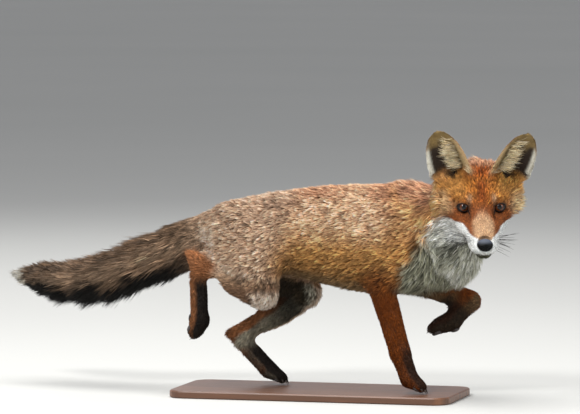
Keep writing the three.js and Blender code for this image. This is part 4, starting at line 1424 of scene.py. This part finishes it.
def addPad(middle, ahead, aside, below, size, lobe, segments):
    wide, thick, long = size
    bm = bmesh.new()
    bmesh.ops.create_uvsphere(bm, u_segments=segments, v_segments=segments * 2 // 3, radius=1)
    for v in bm.verts:
        swell = 1 + lobe * math.cos(3 * math.atan2(v.co.x, v.co.z))
        p = middle + ahead * v.co.z * long * swell + aside * v.co.x * wide * swell
        v.co = spot(*(p + below * v.co.y * thick))
    joinBmesh(pads, bm, outward=True)


for (hand, end), (ballName, tipName, width, down, bulk) in feet.items():
    ball, tip = Vector(joints[hand][ballName]), Vector(joints[hand][tipName])
    ahead = (tip - ball).normalized()
    aside = ahead.cross(Vector(down)).normalized()
    below = ahead.cross(aside) * (1 if ahead.cross(aside).dot(Vector(down)) > 0 else -1)
    toeDrop, ballDrop = [footLook[k][0] + footLook[k][1] * bulk for k in ("toeDrop", "ballDrop")]
    for reach, spread in zip(footLook["reach"], footLook["spread"]):
        toe = ball + (tip - ball) * reach + aside * spread * width
        addClaw(toe, ahead, aside, below)
        addPad(toe - ahead * 1.5 + below * toeDrop, ahead, aside, below, footLook["toePad"], 0, 18)
    middle = ball + ahead + below * ballDrop
    addPad(middle, ahead, aside, below, footLook["ballPad"], footLook["lobe"], 24)
for made in (claws, pads):
    for v in made.verts:
        v.co.z = max(v.co.z, (ground - 0.3) * mm)  # nothing reaches far into the base
finishPiece(fromBmesh("claws", claws), leathers["claw"])
finishPiece(fromBmesh("foot_pads", pads), leathers["pad"])
print("set the claws and pads")

woodStops = [(0.15, tone(82, 52, 33)), (0.5, tone(98, 62, 39)), (0.85, tone(114, 74, 47))]
wood, wire, shader = newMaterial("base_wood", Coat_Weight=0.25, Coat_Roughness=0.25)
place = wire.place()
board, threads = [
    wire.node("ShaderNodeMapping", {"Vector": place, "Scale": scale})
    for scale in ((1.0, 9.0, 9.0), (6.0, 160.0, 160.0))
]
bend, fibre = wire.noise(board, 3.0, 3.0), wire.noise(threads, 6.0, 4.0)
growth = {"Vector": board, "Scale": 2.2, "Distortion": 7.0, "Detail": 3.0, "Detail Scale": 1.4}
rings = wire.node("ShaderNodeTexWave", growth, out=1, bands_direction="Y")
grain = rings * 0.55 + bend * 0.25 + fibre * 0.3
plug(wire.node("ShaderNodeValToRGB", {0: grain}, stops=woodStops), shader, "Base Color")
plug(0.34 + fibre * 0.22, shader, "Roughness")
plug(wire.bump(fibre, 0.0003, 0.4), shader, "Normal")
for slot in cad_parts["stand_base"].material_slots:
    slot.material = wood

studio = {
    "floor": 45, "sky": 0.48, "skyColour": (0.93, 0.95, 1.0, 1),
    "lights": {  # place, aim, size and power
        "over": ((-0.3, -0.5, 3.0), (0, 0, 0.3), 2.6, 105),
        "front": ((-0.9, -3.2, 2.9), (0, 0, 0.3), 0.9, 120),
        "side": ((3.2, -0.6, 1.4), (0.2, 0, 0.3), 1.6, 40),
        "rear": ((-1.8, 2.6, 2.2), (0, 0, 0.3), 1.6, 30),
    },
}
bm = bmesh.new()
bmesh.ops.create_grid(bm, x_segments=8, y_segments=8, size=studio["floor"])
floor = fromBmesh("floor", bm)
paleFloor, wire, shader = newMaterial("pale_floor", Roughness=0.9, Specular_IOR_Level=0.2)
cloudy = wire.noise(wire.place(), 0.6, 2.0)
plug(wire.blend(rgba(tone(188, 188, 184)), rgba(tone(196, 195, 191)), cloudy), shader, "Base Color")
floor.data.materials.append(paleFloor)
for name, (place, aim, size, power) in studio["lights"].items():
    lamp = bpy.data.lights.new(name, "AREA")
    lamp.shape = "DISK"
    lamp.size = size
    lamp.energy = power
    made = newObject(name, lamp)
    made.location = place
    made.rotation_mode = "QUATERNION"
    made.rotation_quaternion = (Vector(aim) - Vector(place)).to_track_quat("-Z", "Y")
world = bpy.data.worlds.new("studio")
bpy.context.scene.world = world
world.use_nodes = True
background = world.node_tree.nodes["Background"].inputs
background["Color"].default_value = studio["skyColour"]
background["Strength"].default_value = studio["sky"]
bpy.context.scene.view_settings.view_transform = "Standard"
print("set the base and the studio")
